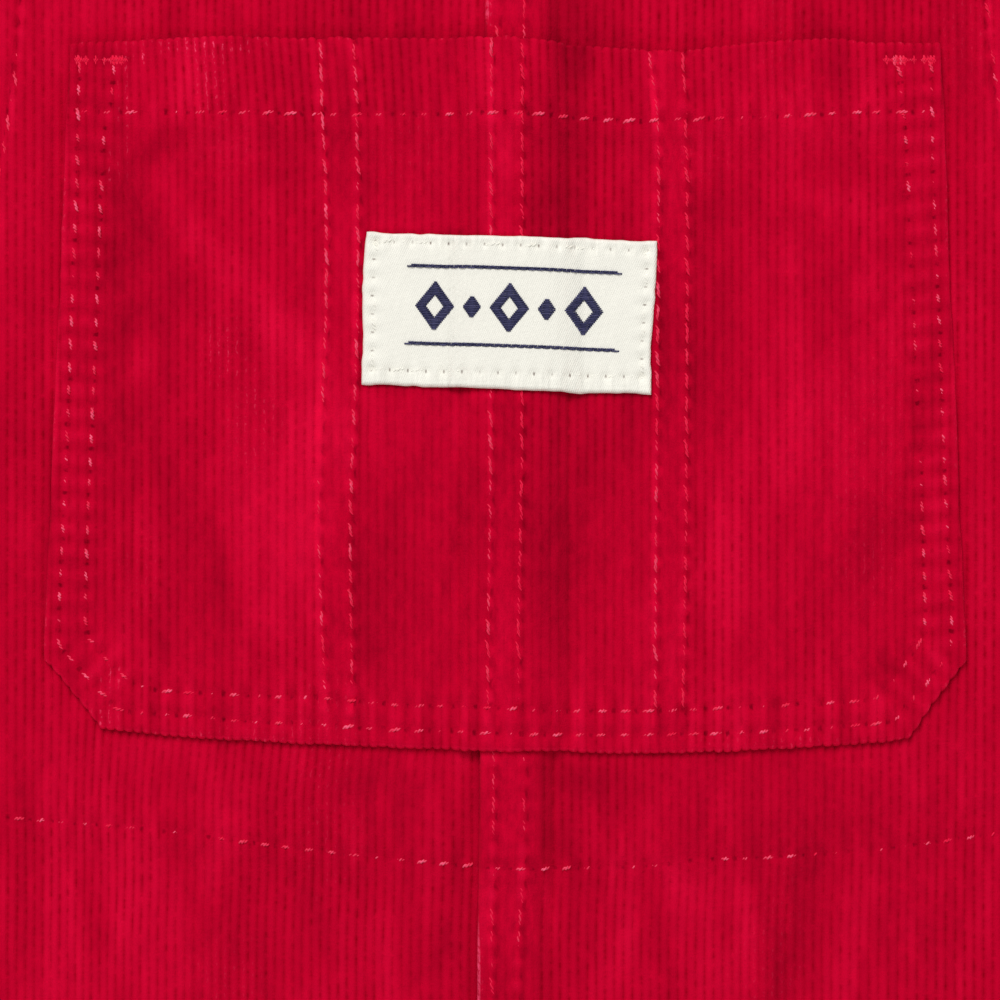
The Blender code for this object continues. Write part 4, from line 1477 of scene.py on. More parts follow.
def spread(start, end, spacing):
    """Shares from 0 to 1, without the last, for steps of about this spacing."""
    count = max(1, int(math.ceil((end - start) / spacing)))
    return np.arange(count) / count


def between(low_curve, high_curve, shares):
    """Curves at some shares of the way from one to another."""
    return [low_curve + (high_curve - low_curve) * share for share in shares]


def rows_of_points(x, curves, low, high):
    """What panel_grid takes. A curve can be a single number where it is level."""
    return x, np.array([np.broadcast_to(curve, x.shape) for curve in curves]), low, high


UNDER_POCKET, OVER_POCKET = 68 * MM, 184 * MM
HEM_HEIGHT = 21 * MM


def front_grid(x):
    """The rows of points of a front, close together only where the photo shows it."""
    low, high, facing = hem_line(x), upper_line(x), facing_curve(x)
    hem_row, top_row = level_line(x, HEM_ROW_LEVEL), TOP_ROWS[1]
    curves = [low + step for step in EDGE_STEPS]
    curves += between(low + 2.4 * MM, hem_row - 1.2 * MM, spread(0, HEM_HEIGHT, 4 * MM))
    curves += [hem_row + step for step in ROW_STEPS]
    curves += between(hem_row + 1.8 * MM, VIEW_BOTTOM, spread(HEM + HEM_DEPTH, VIEW_BOTTOM, 5.2 * MM))
    curves += between(VIEW_BOTTOM, facing - 1.2 * MM, spread(VIEW_BOTTOM, FACING_EDGE, 1.3 * MM))
    curves += [facing + step for step in ROW_STEPS]
    curves += between(facing + 1.5 * MM, UNDER_POCKET, spread(FACING_EDGE, UNDER_POCKET, 1.3 * MM))
    curves += between(UNDER_POCKET, OVER_POCKET, spread(UNDER_POCKET, OVER_POCKET, 7.0 * MM))
    curves += between(OVER_POCKET, top_row - 1.2 * MM, spread(OVER_POCKET, top_row, 1.5 * MM))
    curves += [top_row + step for step in ROW_STEPS]
    curves += between(top_row + 1.5 * MM, BIB_TOP - 2.6 * MM, spread(top_row, BIB_TOP, 1.6 * MM))
    curves += [TOP_ROWS[0], *(high - step for step in EDGE_STEPS[::-1])]
    return rows_of_points(x, curves, low, high)


def side_points(side):
    """The side seam and armhole from the hem up."""
    return np.column_stack((side * SIDE_X, SIDE_Y))


def inset(line, distance):
    """The line moved to its left."""
    step = np.gradient(line, axis=0)
    step /= np.hypot(*step.T)[:, None]
    return line + distance * np.column_stack((-step[:, 1], step[:, 0]))


ROWS_CLEAR = 1 * MM
LAP_ROW_SPANS = ((HEM + 1 * MM, 69 * MM), (183 * MM, BIB_TOP - 1 * MM))


def front_rows(side):
    """Stitching that shows on one front."""
    inner = LAP_FOLD if side > 0 else lap_fold(0.05) - 0.3 * MM

    def clipped(line, margin):
        """The part of a line that lies on this front."""
        on_side = side * (line[:, 0] - inner) > 0
        return line[on_side & (np.abs(line[:, 0]) < np.interp(line[:, 1], SIDE_Y, SIDE_X) - margin)]

    x = np.linspace(-HEM_HALF, HEM_HALF, 430)
    hem_row = np.column_stack((x, level_line(x, HEM_ROW_LEVEL)))
    facing_row = clipped(smooth_line(FACING_ROW_MM), ROWS_CLEAR)
    rows = [
        row_of(clipped(hem_row, ROWS_CLEAR), True),
        row_of(facing_row, True, depth=0.8, shows=0.42, pale=1.2, sunk=0.06),
    ]
    for y in TOP_ROWS:
        rows.append(row_of(clipped(np.column_stack((x, np.full(x.shape, y))), 1.5 * MM), True))
    armhole = side_points(1)
    armhole = armhole[armhole[:, 1] > UNDERARM + 1 * MM]
    armhole = inset(even_line(armhole, 1.5 * MM), ARMHOLE_INSET)
    armhole = armhole[(armhole[:, 1] < BIB_TOP - 2 * MM) & (armhole[:, 0] > BIB_HALF - 8 * MM)]
    rows.append(row_of(armhole * (side, 1), False))
    for offsets in LAP_ROW_OFFSETS_MM if side > 0 else ():
        for start, end in LAP_ROW_SPANS:
            y = np.arange(start, end, 1.5 * MM)
            offset = np.interp(y, LAP_ROW_LEVELS, offsets) * MM
            seam = np.column_stack((lap_fold(y) + offset, y))[::-1]
            rows.append(row_of(seam, False, depth=1.2, pale=0.45, sunk=0.24))
    return rows


LAP_UNDER = 2.2 * MM  # the right front runs this far under the left one's fold


def make_front(name, node, side):
    """One front, and its rows of stitching. side is 1 for the wearer's left and -1 for their right."""
    start = lap_fold(0.1) if side > 0 else -HEM_HALF
    end = HEM_HALF if side > 0 else lap_fold(0.1) + LAP_UNDER
    side_line = side_points(side)
    x = np.linspace(0, HEM_HALF, 60) * side
    hem_edge = np.column_stack((x, hem_line(x)))
    top_edge = np.array(((0.0, BIB_TOP), (side * BIB_HALF, BIB_TOP)))
    if side > 0:
        fold = np.array(((start, BIB_TOP + 1 * MM), (start, HEM - 1 * MM)))
        edges = [hem_edge, side_line, top_edge[::-1], fold]
        form = (left_face, left_floor, grain_shift)
    else:
        edges = [hem_edge[::-1], side_line[::-1], top_edge]
        form = (right_face, right_floor, grain_shift)
    rows = front_rows(side)
    y = np.arange(HEM, BIB_TOP, 5 * MM)
    step_x = LAP_HIDDEN + SEAM_GAP + 1.0 * MM if side > 0 else LAP_FOLD - 0.4 * MM
    seam = np.column_stack((step_x + grain_shift(0.0, y), y))
    mouth = pocket_outline()
    mouth = mouth[mouth[:, 1] > 180 * MM]
    crevices = [
        (pocket_outline() - (0.0, 0.5 * MM), 0.06, 0.9 * MM),
        (mouth + (0.0, 0.9 * MM), 0.09, 1.5 * MM),
        (seam, 0.06 if side > 0 else 0.08, 0.9 * MM),
    ]
    grid = front_grid(wale_columns(start, end, FRONT_STOPS))
    piece = corduroy_panel(
        name, node, grid, edges, form, rows, FRONT_CREASES_MM, FRONT_NAP_AND_PAINTED_LIGHT_MM, crevices,
        100 if side > 0 else 200
    )
    return piece, rows


# ---- Pocket ----

POCKET_STOPS = (0.0, 0.13, 0.32, 0.50, 0.68, 0.87)
POCKET_ROW_SPACING = 0.86 * MM


def pocket_outline():
    """The pocket's edge, anticlockwise from its top left corner."""
    x = np.linspace(-POCKET_LOW_HALF, POCKET_LOW_HALF, 280)
    bottom = np.column_stack((x, pocket_low(x)))
    x = np.linspace(POCKET_TOP_HALF, -POCKET_TOP_HALF, 260)
    top = np.column_stack((x, pocket_high(x)))
    return np.concatenate((top[-1:], bottom, top))


def pocket_grid(x):
    """The rows of points of the pocket, which follow its rows of stitches."""
    low, high = pocket_low(x), pocket_high(x)
    outer = np.interp(x, *smooth_line(OUTER_ROW_MM[7:20]).T)
    inner = np.interp(x, *smooth_line(INNER_ROW_MM[11:25]).T)
    hem_row = np.interp(x, *smooth_line(HEM_ROW_MM).T)
    top = pocket_top_curve(x)
    curves = [low + step for step in EDGE_STEPS]
    curves += [outer + step for step in ROW_STEPS]
    curves += between(outer + 1.5 * MM, inner - 1.2 * MM, (0.0, 0.5))
    curves += [inner + step for step in ROW_STEPS]
    curves += between(inner + 1.6 * MM, hem_row - 1.6 * MM, spread(74 * MM, 173 * MM, POCKET_ROW_SPACING))
    curves += [hem_row + step for step in ROW_STEPS]
    curves += between(hem_row + 1.6 * MM, top - 2.2 * MM, spread(176.6 * MM, 186 * MM, 1.0 * MM))
    curves += [high - step for step in EDGE_STEPS[::-1]]
    return rows_of_points(x, curves, low, high)


DIVIDER_PALE = (0.95, 0.70, 0.50, 0.05, 0.60, 0.16)


def pocket_rows():
    """The rows that hem the pocket, sew it on and divide it."""
    rows = [
        row_of(smooth_line(HEM_ROW_MM), True, depth=1.0, shows=0.50, pale=1.3),
        row_of(smooth_line(INNER_ROW_MM), True, depth=1.2, shows=0.42, pale=1.3),
        row_of(smooth_line(OUTER_ROW_MM), True, depth=1.2, shows=0.46, pale=1.4),
    ]
    for number, line in enumerate(DIVIDER_ROWS_MM):
        depth = 1.15 if number % 2 else 0.85
        rows.append(row_of(smooth_line(line), False, depth=depth, pale=DIVIDER_PALE[number], sunk=0.04))
    return rows


def make_pocket():
    """The pocket, and its rows of stitching."""
    rows = pocket_rows()
    half_u, half_v = LABEL_SIZE[0] / 2, LABEL_SIZE[1] / 2
    u, v = np.array(((-1, -1), (1, -1), (1, 1), (-1, 1), (-1, -1))).T
    label_edge = np.column_stack(label_place(u * half_u, v * half_v))
    crevices = [(label_edge - (0.0, 0.3 * MM), 0.20, 0.8 * MM)]
    for side in (-1, 1):
        x = side * TACK_CENTRE[0] + np.array((-0.5, 0.5)) * TACK_SIZE[0]
        for above, strength, reach in ((0.9 * MM, 0.50, 0.40 * MM), (0.0, 0.12, 1.0 * MM)):
            crevices.append((np.column_stack((x, np.full(2, TACK_CENTRE[1] + above))), strength, reach))
    grid = pocket_grid(wale_columns(-POCKET_LOW_HALF, POCKET_LOW_HALF, POCKET_STOPS))
    form = (pocket_face, pocket_floor, pocket_grain_shift)
    piece = corduroy_panel(
        "pocket_cloth", "pocket", grid, [pocket_outline()], form, rows, POCKET_CREASES_MM, POCKET_NAP_AND_PAINTED_LIGHT_MM,
        crevices, 300
    )
    return piece, rows


TACK_SIZE = (9.0 * MM, 2.0 * MM)
TACK_CENTRE = (70.5 * MM, 184.4 * MM)
TACK_THREADS = 31
TACK_LEAN, TACK_STRAY = 0.2 * MM, 0.06 * MM
TACK_RISE_MM, TACK_SINK_MM = 0.45, 0.50
TACK_PALE, TACK_PALE_POWER = 0.7, 7
TACK_THICK = 0.8


def make_tacks():
    """A close zigzag of thread over each end of the pocket's mouth."""
    rng = np.random.default_rng(SEED + 31)
    share = np.linspace(0, 1, FINE.points)
    paths = []
    for side in (-1, 1):
        for number in range(TACK_THREADS):
            x = side * TACK_CENTRE[0] + (number / (TACK_THREADS - 1) - 0.5) * TACK_SIZE[0]
            lean = (TACK_LEAN if number % 2 else -TACK_LEAN) + rng.uniform(-TACK_STRAY, TACK_STRAY)
            px = x + lean * (share - 0.5)
            py = TACK_CENTRE[1] + (share - 0.5) * TACK_SIZE[1]
            pz = pocket_face(px, py) + (TACK_RISE_MM * arch(share, 0.6) - TACK_SINK_MM) * MM
            paths.append(np.column_stack((px, py, pz)))
    tones = TACK_PALE * rng.uniform(0, 1, len(paths)) ** TACK_PALE_POWER
    add_yarn("bar_tacks", np.array(paths), tones, red_thread, FINE, TACK_THICK)


# ---- Label ----

LABEL_STEP = 0.31 * MM
LABEL_EDGE_RADIUS = 0.42 * MM
LABEL_ROW_INSET = 1.6 * MM
LABEL_LOW_ROW_INSET, LABEL_LOW_ROW_RISE = 2.3 * MM, 0.3 * MM
LABEL_LINE_STEP = 0.8 * MM
LABEL_PULLED_IN = 0.45 * MM  # in the middle of its left edge
LABEL_HANG = 0.55 * MM
LABEL_GROOVE, LABEL_PUCKER, LABEL_UNEVEN = 0.25 * MM, 0.09 * MM, 0.10 * MM


def label_place(u, v):
    """Garment X and Y of a place on the label."""
    cosine, sine = math.cos(LABEL_TURN), math.sin(LABEL_TURN)
    return LABEL_CENTRE[0] + u * cosine - v * sine, LABEL_CENTRE[1] + u * sine + v * cosine


def label_edge_wave(place, seed):
    """How far the label's edge wanders off a straight line."""
    slow, quick = soft_noise(place / (6.5 * MM), 0.5, seed), soft_noise(place / (1.6 * MM), 0.5, seed + 1)
    return (0.32 * slow + 0.17 * quick) * MM


def label_lines():
    """The row of stitches round the label, a line for each side."""
    half_u, half_v = LABEL_SIZE[0] / 2 - LABEL_ROW_INSET, LABEL_SIZE[1] / 2 - LABEL_ROW_INSET
    low_v = -LABEL_SIZE[1] / 2 + LABEL_LOW_ROW_INSET
    corners = ((-half_u, low_v), (half_u, low_v + LABEL_LOW_ROW_RISE), (half_u, half_v), (-half_u, half_v))
    lines = []
    for start, end in zip(corners, corners[1:] + corners[:1]):
        count = max(2, int(math.hypot(end[0] - start[0], end[1] - start[1]) / LABEL_LINE_STEP))
        lines.append(np.linspace(start, end, count))
    return lines


def make_label():
    """The label, whose edges stray a little off straight lines, and its row of stitching."""
    width, height = LABEL_SIZE
    u_line = np.linspace(-0.5, 0.5, int(width / LABEL_STEP) + 1)
    v_line = np.linspace(-0.5, 0.5, int(height / LABEL_STEP) + 1)
    share_u, share_v = (grid.ravel() for grid in np.meshgrid(u_line, v_line))
    u, v = share_u * width, share_v * height
    edge_u, edge_v = (np.abs(2 * share) ** 6 * np.sign(share) for share in (share_u, share_v))
    pulled_in = LABEL_PULLED_IN * (1 - (2 * share_v) ** 2) * (share_u < 0) * (-2 * share_u) ** 3
    hang = LABEL_HANG * (share_v < 0) * edge_v * (1 - 0.6 * smooth_step(share_u, 0.1, 0.5))
    x, y = label_place(
        u - pulled_in + edge_u * label_edge_wave(v, 41), v + edge_v * label_edge_wave(u, 42) + hang
    )
    relief = np.zeros(u.shape)
    best, phase = np.full(u.shape, MARK_REACH), np.zeros(u.shape)
    for line in label_lines():
        near = near_line(u, v, line, SEWN_REACH)
        step = near.along / row_of(line, True, LABEL_STITCH).pitch
        hole = np.cos(2 * np.pi * step)
        relief -= LABEL_GROOVE * bell(near.distance, 0.6 * MM) * (0.50 + 0.50 * hole)
        relief -= LABEL_PUCKER * bell(near.distance, 1.6 * MM) * hole
        closer = near.distance < best
        best[closer], phase[closer] = near.distance[closer], step[closer]
    relief += LABEL_UNEVEN * soft_noise(u / (9 * MM), v / (6 * MM), 43)
    away = np.minimum(width / 2 - np.abs(u), height / 2 - np.abs(v))
    sine = np.clip(1 - away / LABEL_EDGE_RADIUS, 0, 1)
    floor = label_floor(x, y)
    top = floor + LABEL_THICKNESS - 0.15 * MM + relief - LABEL_EDGE_RADIUS * (1 - np.sqrt(1 - sine**2))
    ids = np.arange(u.size).reshape(len(v_line), len(u_line))
    triangles = quads(*corners_of(ids))
    points, triangles, source = add_rim(np.column_stack((x, y, top)), triangles, floor)
    level = np.zeros(u.shape)
    marks = {
        "weave": np.column_stack((u / MM, v / MM, level))[source],
        "sewn_across": np.column_stack((phase, best / MM, level))[source],
    }
    piece = add_mesh("label_cloth", points, triangles, woven, marks, "label")
    placed = [np.column_stack(label_place(*line.T)) for line in label_lines()]
    return piece, [row_of(line, True, LABEL_STITCH, shows=0.70, sunk=0.10) for line in placed]


def label_seat(x, y):
    """Height from which the label's threads rise."""
    return label_floor(x, y) + LABEL_THICKNESS - 0.35 * MM


MOTIF_PITCH = 0.30 * MM
MOTIF_COLUMNS = ("u", "half_width", "half_height", "hollow")
MOTIF_LARGE, MOTIF_SMALL = (3.4, 4.4, 0.45), (1.6, 2.1, 0.0)
MOTIF_MM = (
    (-13.0, *MOTIF_LARGE), (-6.5, *MOTIF_SMALL), (0.0, *MOTIF_LARGE), (6.5, *MOTIF_SMALL),
    (13.0, *MOTIF_LARGE),
)
MOTIF_UP = 0.5 * MM
MOTIF_LINES_MM = (7.3, -6.2)
MOTIF_LINE_HALF = 18.0 * MM
MOTIF_LEAST, MOTIF_FLOAT, MOTIF_FLOAT_PITCH, MOTIF_LAG = 0.25 * MM, 1.35 * MM, 1.5 * MM, 0.7 * MM
MOTIF_YARN = Yarn(0.13 * MM, 0.05 * MM, 1.0, 5, 6)


def make_motif():
    """A plain band of lozenges between two lines, woven in floats of navy yarn."""
    floats = []
    for lozenge in named_rows(MOTIF_COLUMNS, MOTIF_MM):
        centre, half_height = lozenge["u"] * MM, lozenge["half_height"] * MM
        for v in np.arange(-half_height + MOTIF_PITCH / 2, half_height, MOTIF_PITCH):
            reach = (1 - abs(v) / half_height) * lozenge["half_width"] * MM
            gap = max(0.0, lozenge["hollow"] - abs(v) / half_height) * lozenge["half_width"] * MM
            spans = ((-reach, -gap), (gap, reach)) if gap else ((-reach, reach),)
            for start, end in spans:
                if end - start > MOTIF_LEAST:
                    floats.append((centre + start, centre + end, v + MOTIF_UP))
    for v in MOTIF_LINES_MM:
        for lane in (0, 1):
            starts = np.arange(-MOTIF_LINE_HALF + lane * MOTIF_LAG, MOTIF_LINE_HALF, MOTIF_FLOAT_PITCH)
            floats += [(u, u + MOTIF_FLOAT, v * MM + lane * MOTIF_PITCH) for u in starts]
    start, end, v = np.array(floats).T[:, :, None]
    share = np.linspace(0, 1, MOTIF_YARN.points)
    x, y = label_place(start + (end - start) * share, v + 0 * share)
    z = label_seat(x, y) + (0.22 * arch(share, 0.5) + 0.19) * MM
    tones = 0.45 * np.random.default_rng(SEED + 71).uniform(0, 1, len(x)) ** 2
    add_yarn("label_motif", np.stack((x, y, z), -1), tones, navy_thread, MOTIF_YARN)


# ---- Back ----

BACK_STEP = 5.4 * MM
BACK_EDGE_STEPS = np.array((0.0, 0.3, 0.8, 1.5)) * MM
BIB_CORNER_STEPS = np.array((-1.5, -0.8, -0.3, 0.0, 0.3, 0.8)) * MM
BACK_SHOWS_FROM = 218 * MM
PLAIN_CRISP = 0.9  # how sharply the wales of the back and straps show
BACK_TOP_SHARE, BACK_UNDER_SHARE = 0.55, 0.45  # of its thickness, where its edge rounds down and up to


def back_high(x):
    """Y of the back's upper edge, and of its sides outside that."""
    strap_side = STRAP_X - STRAP_WIDTH / 2
    dip = BACK_SCOOP * (1 - smooth_step(np.abs(x), 0.0, strap_side))
    return np.where(np.abs(x) <= BIB_HALF, BACK_TOP - dip, upper_line(x))


def make_back():
    """A closed shell: the outer side rests on the surface, and the inner side shows at the neck."""
    steps, clear = BACK_EDGE_STEPS, 2.4 * MM
    inner = np.linspace(-HEM_HALF + clear, HEM_HALF - clear, int(2 * HEM_HALF / BACK_STEP))
    corners = (-BIB_HALF - BIB_CORNER_STEPS, BIB_HALF + BIB_CORNER_STEPS)
    columns = np.concatenate((-HEM_HALF + steps, inner, *corners, HEM_HALF - steps))
    columns = np.unique(np.round(columns, 6))
    low, high = hem_line(columns), back_high(columns)
    curves = [low + step for step in steps]
    curves += between(low + clear, BACK_SHOWS_FROM, spread(HEM, BACK_SHOWS_FROM, BACK_STEP))
    curves += between(BACK_SHOWS_FROM, BACK_TOP, spread(BACK_SHOWS_FROM, BACK_TOP, 1.2 * MM))
    curves += [high - step for step in steps[::-1]]
    x, y, triangles = panel_grid(*rows_of_points(columns, curves, low, high))
    wall = back_wall(x, y, level_at(x, y))
    low_edge, high_edge = (np.column_stack((columns, curve)) for curve in (low, high))
    near = near_line(x, y, np.concatenate((low_edge, high_edge[::-1])), EDGE_RADIUS)
    rows = back_rows()
    relief, shade, across, along = sewn(x, y, rows)
    edge = np.minimum(near.distance, EDGE_RADIUS)
    drop = EDGE_RADIUS * (1 - np.sqrt(1 - (1 - edge / EDGE_RADIUS) ** 2))
    upper = np.column_stack((x, y, np.maximum(wall - drop + relief, BACK_TOP_SHARE * wall)))
    lower = np.column_stack((x, y, np.minimum(drop, BACK_UNDER_SHARE * wall)))
    count = len(x)
    start, end = open_edges(triangles, count)
    walls = quads(end, start, start + count, end + count)
    triangles = np.concatenate((triangles, triangles[:, ::-1] + count, walls))
    marks = {
        "wale": np.column_stack((x / WALE, y / WALE, np.full(count, PLAIN_CRISP))),
        "nap_and_painted_light": nap_and_painted_light_at(x, y, (), 500) + shade,
        "wear_and_highlight": np.zeros(count),
        "sewn_across": across,
        "sewn_along": along,
    }
    marks = {mark: np.concatenate((values, values)) for mark, values in marks.items()}
    points = np.concatenate((upper, lower))
    return add_mesh("back_cloth", points, triangles, flat_corduroy, marks, "back"), rows


def back_rows():
    """Two rows along the back's upper edge."""
    x = np.linspace(-BIB_HALF + 2 * MM, BIB_HALF - 2 * MM, 160)
    return [row_of(np.column_stack((x, back_high(x) - inset_y)), True) for inset_y in (2.0 * MM, 7.0 * MM)]


def back_seat(x, y):
    """Height from which the back's threads rise."""
    return back_wall(x, y, level_at(x, y)) - CREST


# ---- Straps and buttons ----

STRAP_WEAR = 0.35
STRAP_WALES_LOST = 0.6  # at its edges
STRAP_UNDER_ROUNDING = 0.9  # of the rounding above
NOWHERE = -1.0  # a Y far from every row of stitches
STRAP_ROW_INSET = 2.2 * MM
STRAP_EDGE_RADIUS = 1.0 * MM


def strap_floor(x, y):
    """Lower face of the strap's upper run: on the bib, then down to the shoulder fold."""
    on_bib = bridged(front_face, x, np.minimum(y, BIB_TOP), POCKET_BEND, POCKET_REACH) + SEAM_GAP
    at_fold = STRAP_THICKNESS + STRAP_LAYER_GAP
    down = smooth_step(y, BIB_TOP + STRAP_LEVEL_RUN, SHOULDER - STRAP_FOLD_RUN)
    return on_bib + (at_fold - on_bib) * down


def strap_stations():
    """Y of the stations along the strap's upper run, from the tip to the fold."""
    corner = STRAP_TIP_RADIUS * (1 - np.cos(np.linspace(0, np.pi / 2, 9)))
    fold_y = SHOULDER - STRAP_LAYER_GAP / 2 - STRAP_THICKNESS
    run = np.arange(STRAP_TIP + STRAP_TIP_RADIUS + 1.6 * MM, fold_y, 2.4 * MM)
    extra = STRAP_TIP + np.array((0.12, 0.3, 0.6, 1.0)) * MM
    return np.unique(np.round(np.concatenate((STRAP_TIP + corner, extra, run, [fold_y])), 6))


def strap_across():
    """Places across the strap, from edge to edge, with the wales' columns."""
    full = STRAP_WIDTH / 2
    half_count = int(full / WALE) + 1
    inside = np.array([(n + s) * WALE for n in range(-half_count, half_count) for s in FRONT_STOPS])
    inside = inside[np.abs(inside) < full - 1.1 * MM]
    ends = full - EDGE_STEPS[:-1]
    return np.concatenate((-ends, inside, ends[::-1]))


def strap_ribbon(side):
    """The strap's run over the bib, round the shoulder fold and along the back.

    Gives the outer and inner points of every station, its normal, how far each point is from the
    strap's edge and how far along the strap the station lies."""
    full, across = STRAP_WIDTH / 2, strap_across()
    inner_radius = STRAP_LAYER_GAP / 2
    outer_radius = inner_radius + STRAP_THICKNESS
    fold_y = SHOULDER - outer_radius
    level = np.zeros(across.shape)
    stations = []
    for y in strap_stations():
        away = y - STRAP_TIP
        short = max(STRAP_TIP_RADIUS - away, 0.0)
        half = full - STRAP_TIP_RADIUS + math.sqrt(max(STRAP_TIP_RADIUS**2 - short**2, 0.0))
        x = across * half / full
        low = strap_floor(side * STRAP_X + x, level + y)
        outer, inner = (np.column_stack((x, level + y, z)) for z in (low + STRAP_THICKNESS, low))
        stations.append((outer, inner, (0.0, 0.0, 1.0), np.minimum(half - np.abs(x), away), y))
    for angle in np.linspace(np.pi / 2, -np.pi / 2, 15)[1:-1]:
        normal = np.array((0.0, math.cos(angle), math.sin(angle)))
        base = np.column_stack((across, level + fold_y, level + outer_radius))
        outer, inner = base + outer_radius * normal, base + inner_radius * normal
        run = fold_y + (math.pi / 2 - angle) * outer_radius
        stations.append((outer, inner, tuple(normal), full - np.abs(across), run))
    for y in np.linspace(fold_y, BACK_TOP + SEAM_GAP, 16):
        outer, inner = (np.column_stack((across, level + y, level + z)) for z in (0.0, STRAP_THICKNESS))
        run = fold_y + math.pi * outer_radius + fold_y - y
        stations.append((outer, inner, (0.0, 0.0, -1.0), full - np.abs(across), run))
    return (np.array(part) for part in zip(*stations))


def make_strap(name, node, side):
    """A ribbon of two layers with wales along it, folded over at the shoulder."""
    outer, inner, normals, reach, run = strap_ribbon(side)
    sine = np.clip(1 - reach / STRAP_EDGE_RADIUS, 0, 1)
    drop = STRAP_EDGE_RADIUS * (1 - np.sqrt(1 - sine**2))
    wale = np.broadcast_to(strap_across() / WALE, reach.shape)
    along = np.broadcast_to(run[:, None], reach.shape)
    seed = 600 if side > 0 else 640
    rows = strap_rows(side)
    on_top = normals[:, 2] > 0.99
    sewn_x = side * STRAP_X + outer[..., 0]
    sewn_y = np.where(on_top[:, None], outer[..., 1], NOWHERE)
    stitched, shade, mark_across, mark_along = sewn(sewn_x.ravel(), sewn_y.ravel(), rows)
    relief = (wale_relief(wale, along, seed) - WALE_HEIGHT) * (1 - STRAP_WALES_LOST * sine)
    relief = relief + stitched.reshape(relief.shape)
    outer = outer + normals[:, None] * (relief - drop)[..., None]
    inner = inner + normals[:, None] * (drop * STRAP_UNDER_ROUNDING)[..., None]
    ring = np.concatenate((outer, inner[:, ::-1]), axis=1)
    stations, count, _ = ring.shape
    points = ring.reshape(-1, 3) + (side * STRAP_X, 0.0, 0.0)
    ids = np.arange(stations * count).reshape(stations, count)
    top, bottom = ids[:, : count // 2], ids[:, : count // 2 - 1 : -1]
    first, last = (quads(top[k, :-1], top[k, 1:], bottom[k, 1:], bottom[k, :-1]) for k in (0, -1))
    triangles = np.concatenate((tube_of(ids), first[:, ::-1], last))

    def both(values):
        """A mark for the outer and the inner points of every station."""
        values = values.reshape(stations, count // 2, -1)
        return np.concatenate((values, values[:, ::-1]), axis=1).reshape(stations * count, -1)

    marks = {
        "wale": both(np.stack((wale, along / WALE, np.full(wale.shape, PLAIN_CRISP)), -1)),
        "nap_and_painted_light": both(nap_and_painted_light_at(wale * WALE, along, (), seed + 3).ravel() + shade).ravel(),
        "wear_and_highlight": both(STRAP_WEAR * sine).ravel(),
        "sewn_across": both(mark_across),
        "sewn_along": both(mark_along),
    }
    return add_mesh(name, points, triangles, corduroy, marks, node), rows


def strap_rows(side):
    """Stitching round the edge of the strap's upper run."""
    full = STRAP_WIDTH / 2 - STRAP_ROW_INSET
    tip = STRAP_TIP + STRAP_ROW_INSET
    end = SHOULDER - 4 * MM
    corner = STRAP_TIP_RADIUS - STRAP_ROW_INSET
    turn = np.linspace(0, np.pi / 2, 8)
    left = np.column_stack((-full + corner * (1 - np.cos(turn)), tip + corner * (1 - np.sin(turn))))
    right = left[::-1] * (-1, 1)
    line = np.concatenate(([(-full, end)], left, right, [(full, end)])) + (side * STRAP_X, 0.0)
    return [row_of(even_line(line, 0.8 * MM), False)]


def strap_seat(x, y):
    """Height from which the strap's threads rise."""
    return strap_floor(x, y) + STRAP_THICKNESS - CREST


BUTTONHOLE_HALF = 10.6 * MM
BUTTONHOLE_BAR = 1.3 * MM
BUTTONHOLE_PITCH = 0.34 * MM
BUTTONHOLE_SLIT = 0.12 * MM  # half of it
BUTTONHOLE_SWAY = 0.05 * MM
BUTTONHOLE_LEAN = 0.1 * MM
END_BAR_HALF = 0.8 * MM


def make_buttonhole(name, side):
    """Satin stitches down both sides of the buttonhole and a bar at each end."""
    rng = np.random.default_rng(SEED + 51)
    share = np.linspace(0, 1, PLAIN.points)
    paths = []

    def bar(x0, y0, x1, y1):
        px = side * STRAP_X + x0 + (x1 - x0) * share
        py = y0 + (y1 - y0) * share
        pz = strap_seat(px, py) + (0.42 * arch(share, 0.5) - 0.10) * MM
        paths.append(np.column_stack((px, py, pz)))

    for y in np.arange(BUTTON_Y - BUTTONHOLE_HALF, BUTTON_Y + BUTTONHOLE_HALF, BUTTONHOLE_PITCH):
        sway = rng.uniform(-BUTTONHOLE_SWAY, BUTTONHOLE_SWAY)
        bar(-BUTTONHOLE_SLIT - BUTTONHOLE_BAR + sway, y, -BUTTONHOLE_SLIT, y + BUTTONHOLE_LEAN)
        bar(BUTTONHOLE_SLIT, y, BUTTONHOLE_SLIT + BUTTONHOLE_BAR + sway, y + BUTTONHOLE_LEAN)
    for end in (-1, 1):
        y = BUTTON_Y + end * (BUTTONHOLE_HALF + 0.1 * MM)
        for x in np.arange(-1.35 * MM, 1.4 * MM, BUTTONHOLE_PITCH):
            bar(x, y - END_BAR_HALF, x + BUTTONHOLE_LEAN, y + END_BAR_HALF)
    tones = 0.35 * rng.uniform(0, 1, len(paths))
    add_yarn(name, np.array(paths), tones, red_thread, PLAIN)


BUTTON_PROFILE_MM = (
    (0.0, 0.0), (7.2, 0.0), (8.0, 0.25), (8.4, 0.8), (8.5, 1.4), (8.4, 2.1), (8.1, 2.65), (7.6, 2.95),
    (7.1, 3.0), (6.7, 2.9), (6.3, 2.6), (5.9, 2.25), (5.4, 2.08), (4.6, 2.0), (3.0, 1.98), (0.0, 1.98),
)
BUTTON_SHARP = math.radians(38)


